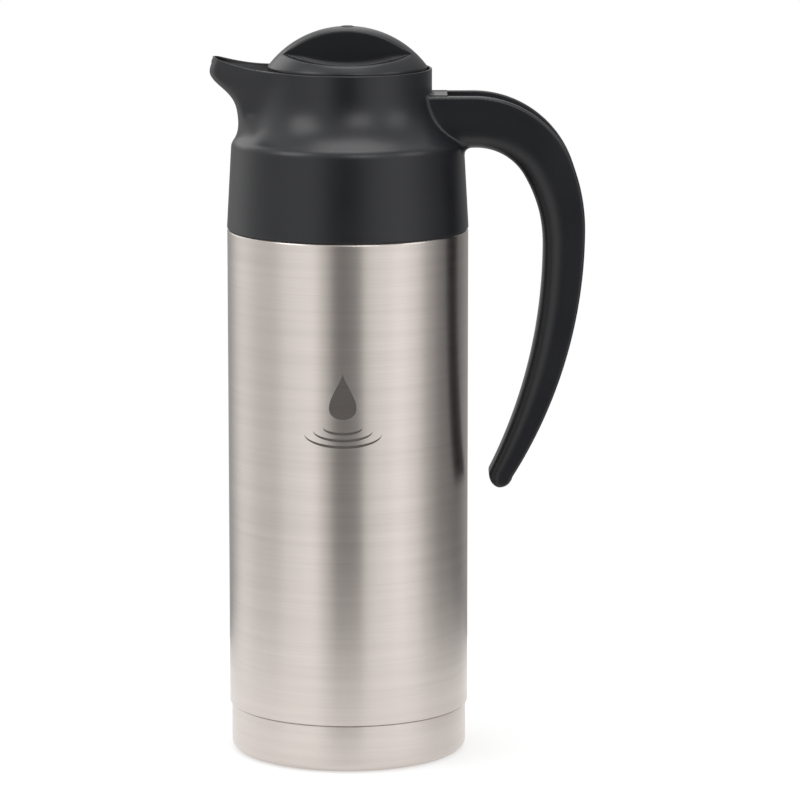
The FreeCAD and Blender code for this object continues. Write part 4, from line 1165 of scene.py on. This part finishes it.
class JUG_OT_inner_parts(JugOperator, bpy.types.Operator):
    """Finishes of the parts inside: liner, vacuum bottom, seals, throat and stopper"""
    bl_idname = "jug.inner_parts"
    bl_label = "Inner parts"

    def execute(self, context):
        liner = plain_metal("stainless_electropolished", ("cfcbc8", "dcd9d6"), 0.18,
                            (60.0, 60.0, 60.0), 0.03)
        black = moulded_polypropylene("polypropylene_moulded_throat", 0.02)
        pale = cast_silicone("silicone_pressed_clear", ("d5d6d2", "e4e4e0"), 0.35, 0.3)
        grey = cast_silicone("silicone_pressed_seal", ("2c2d2f", "36383a"), 0.5, 0.0)
        foam = rigid_foam("polyurethane_foam_cut")
        finishes = {
            "inner_liner": liner,
            "base_plate": liner,
            "evacuation_plug": plain_metal("nickel_braze_fused", ("8f8371", "a89a86"), 0.32,
                                           (800.0,) * 3, 0.2),
            "getter": plain_metal("zirconium_alloy_sintered", ("5b5d60", "777a7d"), 0.6,
                                  (3000.0,) * 3, 0.5),
            "handle_screws": plain_metal("steel_zinc_plated", ("b7bbbf", "cdd0d3"), 0.3,
                                         (1200.0,) * 3),
            "base_cushion": foam,
            "stopper_foam": foam,
            "collar_seal_ring": grey,
            "lid_sealing_ring": grey,
            "mouth_gasket": pale,
            "stopper_gasket": pale,
            "throat_sleeve": black,
            "stopper_body": black,
        }
        for node, material in finishes.items():
            paint(node, material)
        return {"FINISHED"}


class JUG_OT_stage(JugOperator, bpy.types.Operator):
    """Pale floor, studio room, lamps and camera"""
    bl_idname = "jug.stage"
    bl_label = "Stage"

    def execute(self, context):
        stage = settings("stage")
        make_floor(stage)
        make_room(stage)
        for name, place, size, power in LAMPS:
            make_lamp(name, place, size, power)
        lens = bpy.data.cameras.new("camera")
        lens.lens = stage.lens
        lens.clip_start, lens.clip_end = 0.05, 20.0
        camera = new_object("camera", lens)
        camera.location = stage.camera
        look = Vector(stage.aim) - Vector(stage.camera)
        camera.rotation_euler = look.to_track_quat("-Z", "Y").to_euler()
        context.scene.camera = camera
        context.scene.view_settings.view_transform = "Standard"
        return {"FINISHED"}


# ---------------------------------------------------------------- stage

# Name, place in metres, side in metres and power in watts of each softbox.
LAMPS = (
    ("softbox_top", (0.04, 0.10, 1.55), 0.80, 5.5),
    ("softbox_left", (-1.00, -0.45, 1.20), 0.70, 4.6),
    ("softbox_front", (0.35, -1.10, 1.15), 0.60, 3.0),
    ("softbox_right", (1.10, -0.35, 0.95), 0.50, 1.6),
    ("softbox_back", (-0.85, 1.10, 0.95), 0.90, 2.6),
)

LAMP_AIM = (0.0, 0.0, 0.18)

# Brightness of the room round the jug: share of a full turn from straight behind, by way of the
# left, the front and the right, and strength.
ROOM_BANDS = (
    (0.00, 1.00), (0.03, 0.40), (0.06, 0.36), (0.17, 0.95), (0.25, 0.72), (0.29, 0.68),
    (0.34, 0.90), (0.41, 1.10), (0.445, 0.60), (0.47, 0.15), (0.53, 0.15), (0.55, 0.76),
    (0.60, 1.00), (0.64, 1.18), (0.69, 0.92), (0.73, 0.50), (0.78, 0.25), (0.86, 0.20),
    (0.94, 0.35), (0.97, 0.40), (1.00, 1.00),
)
CEILING_FADE = (0.35, 0.8)          # upward part of a ray over which the bands fade out
CEILING = 0.85                      # strength of the room overhead
FLOOR_GLOW = 0.55


def make_floor(stage):
    """A round pale floor: a disc whose rings run from the middle to its edge."""
    ring = np.linspace(0, 1, 12)[:, None]
    angle = np.linspace(0, 2 * math.pi, 96, endpoint=False)
    points = np.stack([ring * np.cos(angle), ring * np.sin(angle), 0 * ring * angle], axis=-1)
    points *= stage.floor
    facing_up = grid_quads(*points.shape[:2], False)[:, [0, 3, 2, 1]]
    mesh = bpy.data.meshes.new("floor")
    mesh.from_pydata(points.reshape(-1, 3).tolist(), [], facing_up.tolist())
    floor = new_object("floor", mesh)
    mesh.materials.append(pale_floor())


def seen_or_mirrored(tree):
    """One for a ray from the camera, or one that metal or glass has turned; else nothing."""
    rays = add_node(tree, "ShaderNodeLightPath").outputs
    mirrored = combined(tree, "MAXIMUM", rays["Is Glossy Ray"], rays["Is Transmission Ray"])
    return combined(tree, "MAXIMUM", rays["Is Camera Ray"], mirrored)


def pale_floor():
    """Matt white board: it shows white to the camera and keeps a soft shadow."""
    material, tree, output = new_material("board_matt_white")
    speckle = noise(tree, (400.0,) * 3, 2.0)
    board = add_node(tree, "ShaderNodeBsdfDiffuse",
                     {"Color": two_tones(tree, speckle, "b4b4b4", "b8b8b8")})
    glow = add_node(tree, "ShaderNodeEmission", {
        "Color": (1, 1, 1, 1), "Strength": FLOOR_GLOW})
    nothing = add_node(tree, "ShaderNodeEmission", {"Strength": 0.0})
    shown = add_node(tree, "ShaderNodeMixShader", {
        0: seen_or_mirrored(tree), 1: nothing.outputs[0], 2: glow.outputs[0]})
    both = add_node(tree, "ShaderNodeAddShader", {0: board.outputs[0], 1: shown.outputs[0]})
    tree.links.new(both.outputs[0], output.inputs["Surface"])
    return material


def make_room(stage):
    """The room: white behind the jug, bands of softbox and shade round it for the steel."""
    world = bpy.data.worlds.new("studio_room")
    world.use_nodes = True
    tree = world.node_tree
    tree.nodes.clear()
    way = add_node(tree, "ShaderNodeTexCoord").outputs["Generated"]
    parts = add_node(tree, "ShaderNodeSeparateXYZ", {0: way})
    front = combined(tree, "MULTIPLY", parts.outputs[1], -1.0)
    angle = combined(tree, "ARCTAN2", parts.outputs[0], front)
    turn = add_node(tree, "ShaderNodeMapRange", {
        "Value": angle, "From Min": -math.pi, "From Max": math.pi}).outputs["Result"]
    bands = tree.nodes.new("ShaderNodeValToRGB")
    ramp = bands.color_ramp
    ramp.interpolation = "EASE"
    for number, (share, strength) in enumerate(ROOM_BANDS):
        stop = ramp.elements[number] if number < 2 else ramp.elements.new(share)
        stop.position = share
        stop.color = (strength,) * 3 + (1.0,)
    tree.links.new(turn, bands.inputs["Fac"])
    height = add_node(tree, "ShaderNodeMapRange", {
        "Value": parts.outputs[2], "From Min": CEILING_FADE[0],
        "From Max": CEILING_FADE[1]}).outputs["Result"]
    round_jug = add_node(tree, "ShaderNodeMix", {
        0: height, 6: bands.outputs["Color"], 7: (CEILING,) * 3 + (1.0,)},
        data_type="RGBA").outputs[2]
    room = add_node(tree, "ShaderNodeBackground", {"Color": round_jug, "Strength": stage.level})
    white = add_node(tree, "ShaderNodeBackground", {"Color": (1, 1, 1, 1), "Strength": 1.0})
    seen = add_node(tree, "ShaderNodeLightPath").outputs["Is Camera Ray"]
    shown = add_node(tree, "ShaderNodeMixShader", {
        0: seen, 1: room.outputs[0], 2: white.outputs[0]})
    output = tree.nodes.new("ShaderNodeOutputWorld")
    tree.links.new(shown.outputs[0], output.inputs["Surface"])
    bpy.context.scene.world = world


def make_lamp(name, place, size, power):
    """A square softbox that faces the upper half of the jug."""
    light = bpy.data.lights.new(name, "AREA")
    light.shape = "SQUARE"
    light.size = size
    light.energy = power
    lamp = new_object(name, light)
    lamp.location = place
    look = Vector(LAMP_AIM) - Vector(place)
    lamp.rotation_euler = look.to_track_quat("-Z", "Y").to_euler()


# ---------------------------------------------------------------- panel and run

OPERATORS = (JUG_OT_vessel, JUG_OT_pad, JUG_OT_collar, JUG_OT_handle, JUG_OT_lid, JUG_OT_sign,
             JUG_OT_inner_parts, JUG_OT_stage)


class JUG_PT_panel(bpy.types.Panel):
    """Lists the jug's settings and makers"""
    bl_idname = "JUG_PT_panel"
    bl_label = "Serving jug"
    bl_space_type = "VIEW_3D"
    bl_region_type = "UI"
    bl_category = "Jug"

    def draw(self, context):
        for name in GROUPS:
            box = self.layout.box()
            box.label(text=name.capitalize())
            group = getattr(context.scene, "jug_" + name)
            for key in group.__annotations__:
                box.prop(group, key)
        for operator in OPERATORS:
            self.layout.operator(operator.bl_idname)


def register():
    """Register the classes and give the scene its groups of settings."""
    for group in (*GROUPS.values(), *OPERATORS, JUG_PT_panel):
        bpy.utils.register_class(group)
    for name, group in GROUPS.items():
        setattr(bpy.types.Scene, "jug_" + name, PointerProperty(type=group))


def unregister():
    """Take the groups and classes away again."""
    for name in GROUPS:
        delattr(bpy.types.Scene, "jug_" + name)
    for group in (JUG_PT_panel, *reversed(OPERATORS), *reversed(GROUPS.values())):
        bpy.utils.unregister_class(group)


def main():
    """Make every piece and the stage."""
    register()
    for operator in OPERATORS:
        family, name = operator.bl_idname.split(".")
        getattr(getattr(bpy.ops, family), name)()


if __name__ == "__main__":
    main()
